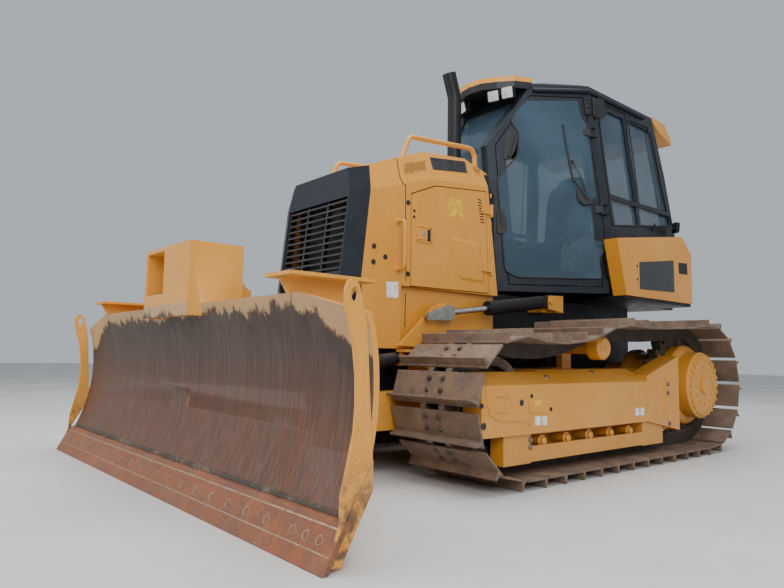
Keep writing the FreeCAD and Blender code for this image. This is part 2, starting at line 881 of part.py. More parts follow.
def track_frame():
    """Box frame that carries idler, rollers and carrier roller and seats on the drive."""
    piece = Piece("track_frame_left")
    mid = "track_x"
    piece.pad("XZ", "frame_front", "frame_rear", [
        (f"{mid} - frame_in", "frame_low"),
        (f"{mid} + frame_out", "frame_low"),
        (f"{mid} + frame_out", "frame_side_top"),
        (f"{mid} + frame_top_out", "frame_top"),
        (f"{mid} - frame_top_in", "frame_top"),
        (f"{mid} - frame_in", "frame_in_top"),
    ])
    piece.pad("YZ", f"{mid} + tail_in", f"{mid} + frame_out", [
        ("frame_rear - 5", "frame_low"),
        ("tail_end", "tail_low"),
        ("tail_end", "tail_top"),
        ("frame_rear - 5", "tail_front_top"),
    ])
    piece.pad("YZ", f"{mid} - beam_in", f"{mid} - beam_out",
              block("frame_rear - 5", "sprocket_y - hub_radius", "beam_low", "beam_top"))
    piece.pad("YZ", f"{mid} - frame_in - 7", f"{mid} - seat_out",
              block("seat_start", "seat_end", "frame_in_top", "seat_top"))
    piece.pad("YZ", f"{mid} - roller_axle_in", f"{mid} - frame_top_in + 12",
              block("carrier_y - carrier_post_half", "carrier_y + carrier_post_half",
                    "frame_in_top", f"{CARRIER_Z} + carrier_post_radius"))
    for start, end in (("front_block_start", "front_block_end"), ("rear_block_start", "rear_block_end")):
        piece.pad("YZ", f"{mid} + block_in", f"{mid} + block_out",
                  block(start, end, "block_low", "frame_low + 5"))
    piece.pad("YZ", f"{mid} + block_out - strip_thick", f"{mid} + block_out",
              block("front_block_end - 5", "rear_block_start + 5", "strip_low", "strip_top"))
    for low, high in (("rail_in", "rail_out"), ("-rail_out", "-rail_in")):
        piece.pad("YZ", f"{mid} + {low}", f"{mid} + {high}",
                  block("roller_first_y - 60", "frame_rear",
                        f"{PITCH_Z} + link_low + roller_radius + roller_axle_radius + 2 * rolling_gap",
                        "rail_top"))
    piece.pocket("XY", "0", "frame_top + 200",
                 block(f"{mid} - wheel_slot", f"{mid} + wheel_slot", "frame_front - 100", "idler_slot_end"))
    piece.pocket("YZ", f"{mid} - wheel_slot", f"{mid} + wheel_slot",
                 block("idler_slot_end - 10", "frame_rear + 10", "0", "roller_slot_top"))
    piece.pocket("YZ", f"{mid} - axle_half - rolling_gap", f"{mid} + axle_half + rolling_gap",
                 ("circle", "idler_y", IDLER_Z, "axle_radius + rolling_gap"))
    piece.pocket("YZ", f"{mid} - roller_axle_in - rolling_gap", f"{mid}",
                 ("circle", "carrier_y", CARRIER_Z, "carrier_axle_radius + rolling_gap"))
    piece.pocket("YZ", "drive_flange_end", f"{mid}",
                 ("circle", "sprocket_y", SPROCKET_Z, "housing_radius + rolling_gap"))
    piece.pocket("YZ", "0", f"{mid} - frame_in + 60",
                 ("circle", "shaft_y", "shaft_z", "shaft_radius + rolling_gap"))
    roller_z = f"({PITCH_Z} + link_low + rolling_gap + roller_radius)"
    for index in range(int(number("roller_count"))):
        piece.pocket("YZ", f"{mid}", f"{mid} + roller_axle_out + rolling_gap",
                     ("circle", f"roller_first_y + roller_step * {index}", roller_z, "roller_axle_radius + rolling_gap"))
    return piece


def final_drive():
    """Motor, housing, hub, drum and lugged outer cover, about the sprocket's axle."""
    piece = Piece("final_drive_left")
    hub = "track_x - 50"
    drum = "track_x + sprocket_half"
    centre = ("0", "sprocket_y", SPROCKET_Z)
    piece.turn("X", centre, [
        ("main_half", "0"),
        ("track_x + cap_end", "0"),
        ("track_x + cap_end", "cap_radius - 12"),
        ("track_x + cover_end", "cap_radius"),
        ("track_x + cover_end - 8", "cover_radius"),
        ("track_x + drum_end + 14", "cover_radius"),
        ("track_x + drum_end", "drum_radius - 14"),
        ("track_x + drum_end - 14", "drum_radius"),
        (drum, "drum_radius"),
        (drum, "hub_radius"),
        (hub, "hub_radius"),
        (hub, "housing_radius"),
        ("drive_flange_end", "housing_radius"),
        ("drive_flange_end", "drive_flange_radius"),
        ("motor_end", "drive_flange_radius"),
        ("motor_end", "motor_radius"),
        ("main_half", "motor_radius"),
    ])
    lug = piece.pad("YZ", "track_x + cover_end - 10", "track_x + cap_end + 6", block(
        "sprocket_y - drive_lug_width / 2", "sprocket_y + drive_lug_width / 2",
        f"{SPROCKET_Z} + cap_radius - drive_lug_length", f"{SPROCKET_Z} + cap_radius - 6"))
    ring = piece.body.newObject("PartDesign::PolarPattern", "final_drive_lugs")
    ring.Originals = [lug]
    ring.Axis = (piece.body.getObject("final_drive_left_turned").Profile[0], ["H_Axis"])
    ring.Occurrences = int(number("drive_lug_count"))
    ring.Angle = 360
    piece.body.Tip = ring
    piece.pad("YZ", "track_x + cap_end - 5", "track_x + cap_end + 14",
              ("circle", "sprocket_y", SPROCKET_Z, "cap_boss_radius"))
    return piece


def sprocket():
    """Toothed disc bolted to the drum, between the strands of the chain."""
    piece = Piece("sprocket_left")
    low = "track_x - sprocket_half"
    high = "track_x + sprocket_half"
    disc = piece.pad("YZ", low, high, ("circle", "sprocket_y", SPROCKET_Z, "tooth_root_radius"))
    tooth = piece.pad("YZ", low, high, [
        ("sprocket_y - tooth_root_width / 2", f"{SPROCKET_Z} + tooth_root_radius - 12"),
        ("sprocket_y + tooth_root_width / 2", f"{SPROCKET_Z} + tooth_root_radius - 12"),
        ("sprocket_y + tooth_tip_width / 2", f"{SPROCKET_Z} + tooth_tip_radius"),
        ("sprocket_y - tooth_tip_width / 2", f"{SPROCKET_Z} + tooth_tip_radius"),
    ])
    axis = piece.outline("XZ", ("0", SPROCKET_Z, "-sprocket_y"), [])
    ring = piece.body.newObject("PartDesign::PolarPattern", "sprocket_teeth")
    ring.Originals = [tooth]
    ring.Axis = (axis, ["H_Axis"])
    ring.Occurrences = int(number("tooth_count"))
    ring.Angle = 360
    piece.body.Tip = ring
    piece.pocket("YZ", low, high, ("circle", "sprocket_y", SPROCKET_Z, "hub_radius + pin_gap"))
    return piece


for make in (idler, track_rollers, carrier_roller, track_frame, final_drive, sprocket):
    left = make()
    right_hand(left.label.replace("_left", "_right"), left)


def main_frame():
    """Belly box with raised deck, cab platform, pivot shafts, equalizer beam and pins."""
    piece = Piece("main_frame")
    piece.pad("YZ", "-main_half", "main_half", [
        ("main_front", "main_low"),
        ("main_rear", "main_low"),
        ("main_rear", "deck_top"),
        ("deck_front", "deck_top"),
        ("deck_front", "main_top"),
        ("main_front", "main_top"),
    ])
    piece.pad("XY", "platform_low", "platform_top", block(
        "-platform_half", "platform_half", "platform_front", "platform_rear"))
    piece.pad("XY", "platform_low", "platform_top", block(
        "-tank_shelf_half", "tank_shelf_half", "platform_rear - 5", "tank_shelf_rear"))
    for mount_y in ("cab_mount_front", "cab_mount_rear"):
        for mount_x in ("cab_mount_x", "-cab_mount_x"):
            piece.pad("XY", "platform_top - 2", "cab_floor",
                      ("circle", mount_x, mount_y, "cab_mount_radius"))
    shaft_end = "(track_x - frame_in + 55)"
    piece.pad("YZ", f"-{shaft_end}", shaft_end, ("circle", "shaft_y", "shaft_z", "shaft_radius"))
    piece.pad("YZ", "-equalizer_end", "equalizer_end",
              block("seat_start", "seat_end", "seat_top", "equalizer_top"))
    piece.pad("YZ", "-push_pin_end", "push_pin_end",
              ("circle", "push_y", "push_z", "push_pin_radius"))
    return piece


def drawbar():
    """Towing plate at the rear with its pin hole."""
    piece = Piece("drawbar")
    piece.pad("XY", "drawbar_low", "drawbar_top", [
        ("-drawbar_half - 60", "main_rear"),
        ("drawbar_half + 60", "main_rear"),
        ("drawbar_half", "main_rear + 90"),
        ("drawbar_half", "drawbar_end - 40"),
        ("drawbar_half - 40", "drawbar_end"),
        ("40 - drawbar_half", "drawbar_end"),
        ("-drawbar_half", "drawbar_end - 40"),
        ("-drawbar_half", "main_rear + 90"),
    ])
    piece.pocket("XY", "drawbar_low", "drawbar_top",
                 ("circle", "0", "drawbar_pin_y", "drawbar_pin_radius"))


def hood_section(row, half, top_half, drop, low):
    """A section across the hood at one of its stations."""
    crease = f"hood_{row}_crease - {drop}"
    top = f"hood_{row}_top - {drop}"
    return [
        (f"-({half})", low),
        (half, low),
        (half, crease),
        (top_half, top),
        (f"-({top_half})", top),
        (f"-({half})", crease),
    ]


def hood_hull(label, kept):
    """The hood's outer form, cut to its front line and its slanting rear."""
    piece = Piece(label, kept)
    piece.loft("AdditiveLoft", "XZ", [
        (f"hood_{row}_y", hood_section(row, "hood_half", "hood_top_half", "0", "hood_low")) for row in HOOD])
    piece.pocket("YZ", "-hood_half - 10", "hood_half + 10", [
        ("hood_nose_y - 10", "hood_low - 10"),
        ("front_low_y + (hood_low - front_low_z + 10) * 0.1", "hood_low - 10"),
        ("front_low_y", "front_low_z"),
        ("front_mid_y", "front_mid_z"),
        ("front_high_y", "front_high_z"),
        ("front_top_y", "front_top_z"),
        ("front_top_y + 20", "front_top_z + 60"),
        ("hood_nose_y - 10", "front_top_z + 60"),
    ])
    piece.pocket("YZ", "-hood_half - 10", "hood_half + 10", [
        ("hood_rear_low_y", "hood_low - 10"),
        ("hood_rear_y + 10", "hood_low - 10"),
        ("hood_rear_y + 10", "hood_rear_top_z + 10"),
        ("hood_rear_top_y", "hood_rear_top_z"),
        ("hood_rear_low_y", "hood_rear_low_z"),
    ])
    return piece


def door_loop(prefix, rows, first, second, growth):
    """A convex outline moved outward by a gap, as plain numbers."""
    points = [(number(f"{prefix}_{row}_{first}"), number(f"{prefix}_{row}_{second}")) for row in rows]
    if first == "along":
        points = [(along + post_shift(height), height) for along, height in points]
    return grown(points, growth)


def grown(points, growth):
    """A convex loop with every side moved outward."""
    area = sum(a[0] * b[1] - b[0] * a[1] for a, b in zip(points, points[1:] + points[:1]))
    sign = math.copysign(1, area)
    lines = []
    for a, b in zip(points, points[1:] + points[:1]):
        length = math.hypot(b[0] - a[0], b[1] - a[1])
        normal = (sign * (b[1] - a[1]) / length, -sign * (b[0] - a[0]) / length)
        lines.append((normal, normal[0] * a[0] + normal[1] * a[1] + growth))
    corners = []
    for (n1, d1), (n2, d2) in zip([lines[-1]] + lines[:-1], lines):
        cross = n1[0] * n2[1] - n1[1] * n2[0]
        corners.append(((d1 * n2[1] - d2 * n1[1]) / cross, (n1[0] * d2 - n2[0] * d1) / cross))
    return corners


def hood_shell():
    """Hollow hood with its side door openings and recessed lower rear sides."""
    piece = hood_hull("hood_shell", True)
    inner_half = "hood_half - hood_skin"
    inner_top = "hood_top_half - hood_skin"
    cavity = [(f"hood_{row}_y", hood_section(row, inner_half, inner_top, "hood_skin", "hood_recess_top"))
              for row in ("front", "slope", "brow", "crown")]
    cavity[0] = ("hood_cavity_front", cavity[0][1])
    cavity.append(("hood_cavity_rear", hood_section("tail", inner_half, inner_top, "hood_skin", "hood_recess_top")))
    piece.loft("SubtractiveLoft", "XZ", cavity)
    piece.pocket("XZ", "hood_cavity_front", "hood_cavity_rear",
                 block("-main_half", "main_half", "main_top", "hood_recess_top + 2"))
    piece.pocket("XZ", "hood_nose_y", "hood_cavity_front + 5",
                 block("-grille_half", "grille_half", "grille_low", "grille_high"))
    piece.pocket("XZ", "hood_nose_y", "hood_rear_y",
                 block("-main_half", "main_half", "hood_low", "main_top"))
    piece.pocket("XZ", "hood_recess_front", "hood_rear_y",
                 block("hood_recess_half", "hood_half + 10", "hood_low - 10", "hood_recess_top"))
    piece.pocket("XZ", "hood_recess_front", "hood_rear_y",
                 block("-hood_half - 10", "-hood_recess_half", "hood_low - 10", "hood_recess_top"))
    for height in ("hinge_low_z", "hinge_high_z"):
        for side in ("hood_half", "-hood_half"):
            sign = "1" if side == "hood_half" else "-1"
            centre = f"{sign} * (hood_half + hinge_out)"
            for low, high in ((f"{height} - hinge_half - 16", f"{height} - hinge_half - side_gap"),
                              (f"{height} + hinge_half + side_gap", f"{height} + hinge_half + 16")):
                piece.pad("XY", low, high, ("circle", centre, "hinge_y", "hinge_radius"))
                piece.pad("XY", low, high, block(f"{side} - {sign} * 5", centre, "hinge_y - 6", "hinge_y + hinge_radius"))
            piece.pad("XY", f"{height} - hinge_half - 10", f"{height} + hinge_half + 10",
                      ("circle", centre, "hinge_y", "hinge_pin_radius"))
    opening = [(f"{u:.4f}", f"{v:.4f}") for u, v in door_loop("engine_door", ENGINE_DOOR, "y", "z", number("door_gap"))]
    for low, high in (("hood_half - door_thick", "hood_half + 10"), ("-hood_half - 10", "door_thick - hood_half")):
        piece.pocket("YZ", low, high, opening)
    return piece


def engine_door():
    """Side door of the engine room: a flat leaf with a raised panel and a latch plate."""
    piece = Piece("engine_door_left")
    piece.pad("YZ", "hood_half - door_thick", "hood_half", outline_of("engine_door", ENGINE_DOOR))
    for height in ("hinge_low_z", "hinge_high_z"):
        low, high = f"{height} - hinge_half", f"{height} + hinge_half"
        piece.pad("XY", low, high, block("hood_half - 5", "hood_half + 9", "hinge_y - 90", "hinge_y - 60"))
        piece.pad("XY", low, high, block("hood_half + 3", "hood_half + 12", "hinge_y - 90", "hinge_y"))
        piece.pad("XY", low, high, ("circle", "hood_half + hinge_out", "hinge_y", "hinge_radius"))
        piece.pocket("XY", low, high, ("circle", "hood_half + hinge_out", "hinge_y", "hinge_pin_radius + pin_gap"))
    return piece


def front_cap():
    """Dark surround of the grille with slanting corners."""
    piece = Piece("front_cap")
    sections = []
    for row in FRONT:
        half = f"front_{row}_half"
        face = f"cap_face_half + front_{row}_half - front_low_half"
        line = f"front_{row}_y"
        sections.append((f"front_{row}_z", [
            (f"-{half}", line),
            (f"-({face})", f"{line} - front_{row}_depth"),
            (face, f"{line} - front_{row}_depth"),
            (half, line),
        ]))
    piece.loft("AdditiveLoft", "XY", sections)
    piece.pocket("XZ", "front_mid_y - 200", "front_low_y + 100",
                 block("-grille_half", "grille_half", "grille_low", "grille_high"))
    piece.pocket("XZ", "front_mid_y - 200", "front_low_y + 100",
                 block("-grille_half", "grille_half", "front_low_z + 60", "grille_low - 40"))
    return piece


def grille():
    """Level bars between two side strips and two dividers, set back in the cap."""
    piece = Piece("grille")
    slope = "((front_high_y - front_mid_y) / (front_high_z - front_mid_z))"
    face = f"front_mid_y - front_mid_depth + grille_set + {slope}"

    def upright(low, high, extra):
        piece.pad("YZ", low, high, [
            (f"{face} * (grille_low - front_mid_z) + {extra}", "grille_low"),
            (f"{face} * (grille_low - front_mid_z) + grille_depth", "grille_low"),
            (f"{face} * (grille_high - front_mid_z) + grille_depth", "grille_high"),
            (f"{face} * (grille_high - front_mid_z) + {extra}", "grille_high"),
        ])
    upright("grille_half - 12", "grille_half", "0")
    upright("-grille_half", "12 - grille_half", "0")
    for place in ("grille_divider_x", "-grille_divider_x"):
        upright(f"{place} - grille_divider / 2", f"{place} + grille_divider / 2", "4")
    for index in range(int(number("grille_bars"))):
        height = f"(grille_low + (grille_high - grille_low) * {index + 0.5} / grille_bars)"
        front = f"{face} * ({height} - front_mid_z)"
        piece.pad("YZ", "-grille_half", "grille_half", [
            (front, f"{height} - grille_bar / 2"),
            (f"{front} + grille_depth - 4", f"{height} - grille_bar / 2 + 10"),
            (f"{front} + grille_depth - 4", f"{height} + grille_bar / 2 + 10"),
            (front, f"{height} + grille_bar / 2"),
        ])
    return piece


def engine_room():
    """Radiator behind the grille and the engine as a plain block."""
    core = Piece("radiator")
    core.pad("XZ", "radiator_front", "radiator_rear",
             block("-radiator_half", "radiator_half", "main_top", "radiator_top"))
    engine = Piece("engine_block")
    engine.pad("XZ", "engine_front", "engine_rear",
               block("-engine_half", "engine_half", "main_top", "engine_top"))


def cowl():
    """Dark fairing between hood and cab, over the firewall."""
    piece = Piece("hood_cowl")
    piece.pad("YZ", "-cowl_half", "cowl_half", [
        ("hood_rear_low_y + 2", "deck_top"),
        ("cowl_rear", "deck_top"),
        ("cowl_rear", "cowl_top - 40"),
        ("cowl_rear - 40", "cowl_top"),
        ("hood_rear_top_y + 12", "cowl_top"),
    ])
    return piece


def tube(places, radius, bend):
    """A round tube through places, with tangent bends of one radius."""
    edges = []
    start = places[0]
    for before, corner, after in zip(places, places[1:], places[2:]):
        back = (before - corner).normalize()
        onward = (after - corner).normalize()
        half = back.getAngle(onward) / 2
        cut = bend / math.tan(half)
        middle = (back + onward).normalize()
        centre = corner + middle * (bend / math.sin(half))
        edges.append(Part.LineSegment(start, corner + back * cut).toShape())
        edges.append(Part.Arc(corner + back * cut, centre - middle * bend, corner + onward * cut).toShape())
        start = corner + onward * cut
    edges.append(Part.LineSegment(start, places[-1]).toShape())
    path = Part.Wire(edges)
    ring = Part.Wire(Part.Circle(places[0], places[1] - places[0], radius).toShape())
    return path.makePipeShell([ring], True, True)


HULL = hood_hull("hood_form", False)
DOC.recompute()


def hood_handrails():
    """A bent tube along each side of the hood's top, its feet cut to the top's slope."""
    places = [FreeCAD.Vector(number("rail_x"), y, z) for y, z in (
        (-815, 1800), (-735, 2000), (-150, 2052), (-140, 1850))]
    left = tube(places, number("rail_tube"), number("rail_bend")).cut(HULL.body.Shape)
    right = left.mirror(FreeCAD.Vector(0, 0, 0), FreeCAD.Vector(1, 0, 0))
    return feature("hood_handrails", Part.makeCompound([left, right]))


def exhaust_stack():
    """Upright pipe behind the hood with a curved outlet."""
    x_place, y_place = number("stack_x"), number("stack_y")
    base = number("cowl_top")
    bend_z = number("stack_bend_z")
    top = number("stack_top")
    lean = number("stack_lean")
    places = [
        FreeCAD.Vector(x_place, y_place, base),
        FreeCAD.Vector(x_place, y_place, bend_z),
        FreeCAD.Vector(x_place, y_place - lean, top),
    ]
    outer = tube(places, number("stack_radius"), number("stack_radius") * 3)
    places.append(places[-1] + (places[-1] - places[-2]))
    bore = tube([places[1] - FreeCAD.Vector(0, 0, 300), places[1], places[3]],
                number("stack_bore"), number("stack_radius") * 3)
    return feature("exhaust_stack", outer.cut(bore))


main_frame()
drawbar()
hood_shell()
DOOR = engine_door()
right_hand("engine_door_right", DOOR)
front_cap()
grille()
engine_room()
cowl()
hood_handrails()
exhaust_stack()



def cab_level(z_place):
    """The cab's half plan at a height: posts A, B and C between the named levels."""
    rows = [[number(f"cab_{row}_{column}") for column in ("z", "ax", "ay", "bx", "by", "cx", "cy")]
            for row in CAB]
    for low, high in zip(rows, rows[1:]):
        if z_place <= high[0] or high is rows[-1]:
            share = (z_place - low[0]) / (high[0] - low[0])
            return [a + (b - a) * share for a, b in zip(low, high)][1:]


def cab_plan(z_place, inset):
    """The whole six-sided plan at a height, moved inward."""
    ax, ay, bx, by, cx, cy = cab_level(z_place)
    corners = grown([(-ax, ay), (ax, ay), (bx, by), (cx, cy), (-cx, cy), (-bx, by)], -inset)
    return Part.makePolygon([FreeCAD.Vector(u, v, z_place) for u, v in corners + corners[:1]])


def cab_hull(inset, low, high):
    """The cab's form between two heights, moved inward."""
    heights = [low] + [number(f"cab_{row}_z") for row in CAB if low < number(f"cab_{row}_z") < high] + [high]
    return Part.makeLoft([cab_plan(height, inset) for height in heights], True, True)


def prism(corners, depth):
    """A flat loop of points pushed along a vector."""
    return Part.Face(Part.makePolygon(corners + corners[:1])).extrude(depth)


SILL = number("cab_floor")
HEAD = number("cab_head")
OUTER = cab_hull(0, SILL, HEAD)
INNER = cab_hull(number("cab_wall"), SILL + number("cab_wall"), HEAD)
SHELL = OUTER.cut(INNER)
PANES = cab_hull(number("glass_inset"), SILL, HEAD).cut(
    cab_hull(number("glass_inset + glass_thick"), SILL - 1, HEAD + 1))


def flank_axes():
    """Foot of the slanting left side at the middle post, its forward and outward directions."""
    foot = FreeCAD.Vector(number("cab_belt_bx"), number("cab_belt_by"), 0)
    way = (FreeCAD.Vector(number("cab_belt_ax"), number("cab_belt_ay"), 0) - foot).normalize()
    return foot, way, FreeCAD.Vector(-way.y, way.x, 0)


def post_shift(z_place):
    """How far the middle post stands forward at a height."""
    foot, way, outward = flank_axes()
    post = cab_level(z_place)
    return (FreeCAD.Vector(post[2], post[3], 0) - foot).dot(way)


def flank(along, z_place, out):
    """A place on the cab's slanting left side: distance from the middle post, height, depth."""
    foot, way, outward = flank_axes()
    return foot + way * along + outward * out + FreeCAD.Vector(0, 0, z_place)


def flank_prism(points, low, high):
    """A loop on the slanting side pushed straight through the wall."""
    depth = flank(0, 0, high) - flank(0, 0, low)
    return prism([flank(u, v, low) for u, v in points], depth)


def both_sides(shape):
    """A left-hand shape with its mirror image."""
    twin = shape.mirror(FreeCAD.Vector(0, 0, 0), FreeCAD.Vector(1, 0, 0))
    return Part.makeCompound([shape, twin])


def cab_prisms():
    """Everything cut through the cab's walls, as pairs of (name, solid)."""
    gap = number("door_gap")
    door = flank_prism(door_loop("cab_door", CAB_DOOR, "along", "z", gap), -200, 60)
    front = []
    for row in WINDSHIELD:
        front.append((number(f"windshield_{row}_x"), number(f"windshield_{row}_z")))
    across = front + [(-u, v) for u, v in reversed(front)]
    windshield = prism([FreeCAD.Vector(u, 0, v) for u, v in across], FreeCAD.Vector(0, 700, 0))
    sides = []
    for row in SIDE_PANES:
        size = {column: number(f"side_pane_{row}_{column}") for column in (
            "front_low_y", "front_low_z", "rear_low_y", "rear_low_z", "front_top_y", "rear_top_y")}
        top = number("rear_pane_top_z")
        corners = ((size["front_low_y"], size["front_low_z"]), (size["rear_low_y"], size["rear_low_z"]),
                   (size["rear_top_y"], top), (size["front_top_y"], top))
        sides.append(prism([FreeCAD.Vector(400, u, v) for u, v in corners], FreeCAD.Vector(500, 0, 0)))
    low, top = "rear_pane_low", "rear_pane_top"
    corners = ((f"-{low}_x", f"{low}_z"), (f"{low}_x", f"{low}_z"), (f"{top}_x", f"{top}_z"), (f"-{top}_x", f"{top}_z"))
    rear = prism([FreeCAD.Vector(number(u), 1600, number(v)) for u, v in corners], FreeCAD.Vector(0, 500, 0))
    return both_sides(door), windshield, both_sides(Part.makeCompound(sides)), rear


def hinge_point(z_place):
    """Where the cab door's hinge line passes a height, just off its rear edge."""
    foot, way, outward = flank_axes()
    post = cab_level(z_place)
    along = number("cab_door_rear_low_along - cab_hinge_back")
    return FreeCAD.Vector(post[2], post[3], z_place) + way * along + outward * number("cab_hinge_out")


def cab_hinges():
    """Knuckles on the left door, and pins with their lugs on the frame, on one line."""
    low = hinge_point(number("cab_hinge_low_z"))
    high = hinge_point(number("cab_hinge_high_z"))
    line = (high - low).normalize()
    half = number("cab_hinge_half")
    radius = number("cab_hinge_radius")
    pin = number("cab_hinge_pin_radius")
    gap = number("side_gap")
    foot, way, outward = flank_axes()
    way = (way - line * way.dot(line)).normalize()
    outward = line.cross(way) if line.cross(way).x > 0 else way.cross(line)

    def plate(base, places, length):
        return prism([base + way * u + outward * v for u, v in places], line * length)

    knuckles = []
    lugs = []
    for centre in (low, high):
        base = centre - line * half
        tongue = plate(base, ((0, 9), (0, -9), (4, -12), (4, -52), (48, -52), (48, -8), (20, 4)), 2 * half)
        knuckle = Part.makeCylinder(radius, 2 * half, base, line).fuse(tongue)
        bore = Part.makeCylinder(pin + number("pin_gap"), 4 * half, base - line * half, line)
        knuckles.append(knuckle.cut(bore))
        lug = Part.makeCylinder(pin, 2 * half + 20, base - line * 10, line)
        for start in (base - line * 16, base + line * (2 * half + gap)):
            arm = plate(start, ((4, 9), (-20, 4), (-56, -8), (-56, -52), (-12, -52), (-12, -12), (4, -9)), 16 - gap)
            lug = lug.fuse([Part.makeCylinder(radius, 16 - gap, start, line), arm])
        lugs.append(lug)
    return knuckles, lugs


def cab():
    """Hollow cab: frame with window holes, panes, side doors with their panes, roof."""
    doors, windshield, sides, rear = cab_prisms()
    frame = SHELL
    for cutter in (doors, windshield, sides, rear):
        frame = frame.cut(cutter)
    knuckles, lugs = cab_hinges()
    frame = frame.fuse(both_sides(Part.makeCompound(lugs)).Solids)
    feature("cab_frame", frame)
    panes = [PANES.common(cutter) for cutter in (windshield, sides, rear)]
    feature("cab_windows", Part.makeCompound([solid for pane in panes for solid in pane.Solids]))
    leaf = SHELL.common(flank_prism(door_loop("cab_door", CAB_DOOR, "along", "z", 0), -200, 60))
    pane_hole = flank_prism(door_loop("door_pane", CAB_DOOR_PANE, "along", "z", 0), -200, 60)
    left = feature("cab_door_left", leaf.cut(pane_hole).fuse(knuckles))
    right_hand("cab_door_right", left)
    glass = feature("cab_door_glass_left", PANES.common(pane_hole))
    right_hand("cab_door_glass_right", glass)
    top = number("cab_eaves_z")
    roof = Part.makeLoft([cab_plan(HEAD, 0), cab_plan(top, 0)], True, True)
    crown = Part.makeLoft([cab_plan(top, 0), cab_plan(top + number("roof_crown"), number("roof_crown_inset"))], True, True)
    feature("cab_roof", roof.fuse(crown))


def roof_caps():
    """Yellow brow over the windshield and the cap behind the roof."""
    roof = PARTS["cab_roof"]
    brow = Piece("roof_brow_form", False)
    half = [(f"visor_{row}_x", f"visor_{row}_y") for row in VISOR]
    mirrored = [(f"-{u}", v) for u, v in reversed(half[1:])]
    brow.pad("XY", "visor_low", "visor_top", half + [("visor_corner_x - 20", "cab_eaves_ay + 0"),
             ("20 - visor_corner_x", "cab_eaves_ay + 0")] + mirrored)
    trimmed("roof_brow", brow, roof)
    cap = Piece("rear_cap_form", False)
    cap.pad("YZ", "-rear_cap_half", "rear_cap_half", [
        ("cab_eaves_cy", "cab_head + 40"),
        ("cab_eaves_cy + 120", "cab_head - 30"),
        ("rear_cap_end", "cab_head - 100"),
        ("rear_cap_end", "cab_head - 60"),
        ("rear_cap_end - 120", "cab_eaves_z"),
        ("cab_eaves_cy", "cab_eaves_z + 12"),
    ])
    trimmed("roof_rear_cap", cap, roof)
    lamps = Piece("roof_lamps")
    for place in ("lamp_in_x", "lamp_out_x", "-lamp_in_x", "-lamp_out_x"):
        lamps.pad("XY", "visor_low - lamp_height", "visor_low", block(
            f"{place} - lamp_width / 2", f"{place} + lamp_width / 2", "lamp_y - lamp_depth / 2", "lamp_y + lamp_depth / 2"))


def cab_inside():
    """Seat on its pedestal, side consoles and the dash column."""
    seat = Piece("operator_seat")
    seat.pad("XY", "cab_floor + cab_wall", "1480", block("-180", "180", "1060", "1400"))
    seat.pad("XY", "1470", "1590", block("-seat_half", "seat_half", "980", "1470"))
    seat.pad("YZ", "20 - seat_half", "seat_half - 20", [
        ("1400", "1560"), ("1500", "1560"), ("1600", "2230"), ("1510", "2250")])
    consoles = Piece("control_consoles")
    for low, high in (("console_in", "console_out"), ("-console_out", "-console_in")):
        consoles.pad("YZ", low, high, [
            ("950", "cab_floor + cab_wall"), ("1450", "cab_floor + cab_wall"), ("1450", "1690"), ("950", "1650")])
    consoles.pad("YZ", "-130", "130", [
        ("330", "cab_floor + cab_wall"), ("450", "cab_floor + cab_wall"), ("450", "1700"), ("380", "1760"), ("330", "1700")])


def rear_boxes():
    """Side boxes beside the cab's rear, and the fuel tank between them."""
    box = Piece("rear_box_left")
    box.pad("YZ", "box_in", "box_out", outline_of("rear_box", REAR_BOX))
    right_hand("rear_box_right", box)
    tank = Piece("fuel_tank")
    tank.pad("YZ", "-tank_half", "tank_half", [
        ("tank_front", "platform_top"),
        ("tank_shelf_rear", "platform_top"),
        ("tank_shelf_rear", "tank_top - tank_round"),
        ("tank_shelf_rear - tank_round", "tank_top"),
        ("tank_front", "tank_top"),
    ])


def lift_brackets():
    """Brackets beside the deck that hold the lift cylinders' rear pins."""
    piece = Piece("lift_brackets")
    for side in (1, -1):
        def span(low, high):
            return (low, high) if side == 1 else (f"-({high})", f"-({low})")
        eye_in = "lift_x - lift_base_half - side_gap"
        eye_out = "lift_x + lift_base_half + side_gap"
        low, high = span("main_half", eye_in)
        piece.pad("YZ", low, high, block("lift_base_y - 34", "bracket_rear", "bracket_low", "bracket_top - 20"))
        low, high = span(eye_out, f"{eye_out} + flag_thick")
        piece.pad("YZ", low, high, [
            ("lift_base_y - 20", "bracket_low + 20"), ("bracket_rear", "bracket_low"),
            ("bracket_rear", "bracket_top"), ("lift_base_y - 20", "bracket_top - 8")])
        low, high = span(f"{eye_in} - 5", f"{eye_out} + 5")
        piece.pad("YZ", low, high, block("bracket_rear - 60", "bracket_rear", "bracket_low", "bracket_top - 20"))
        low, high = span(f"{eye_in} - 5", f"{eye_out} + flag_thick + 8")
        piece.pad("YZ", low, high, ("circle", "lift_base_y", "lift_base_z", "lift_base_pin_radius"))


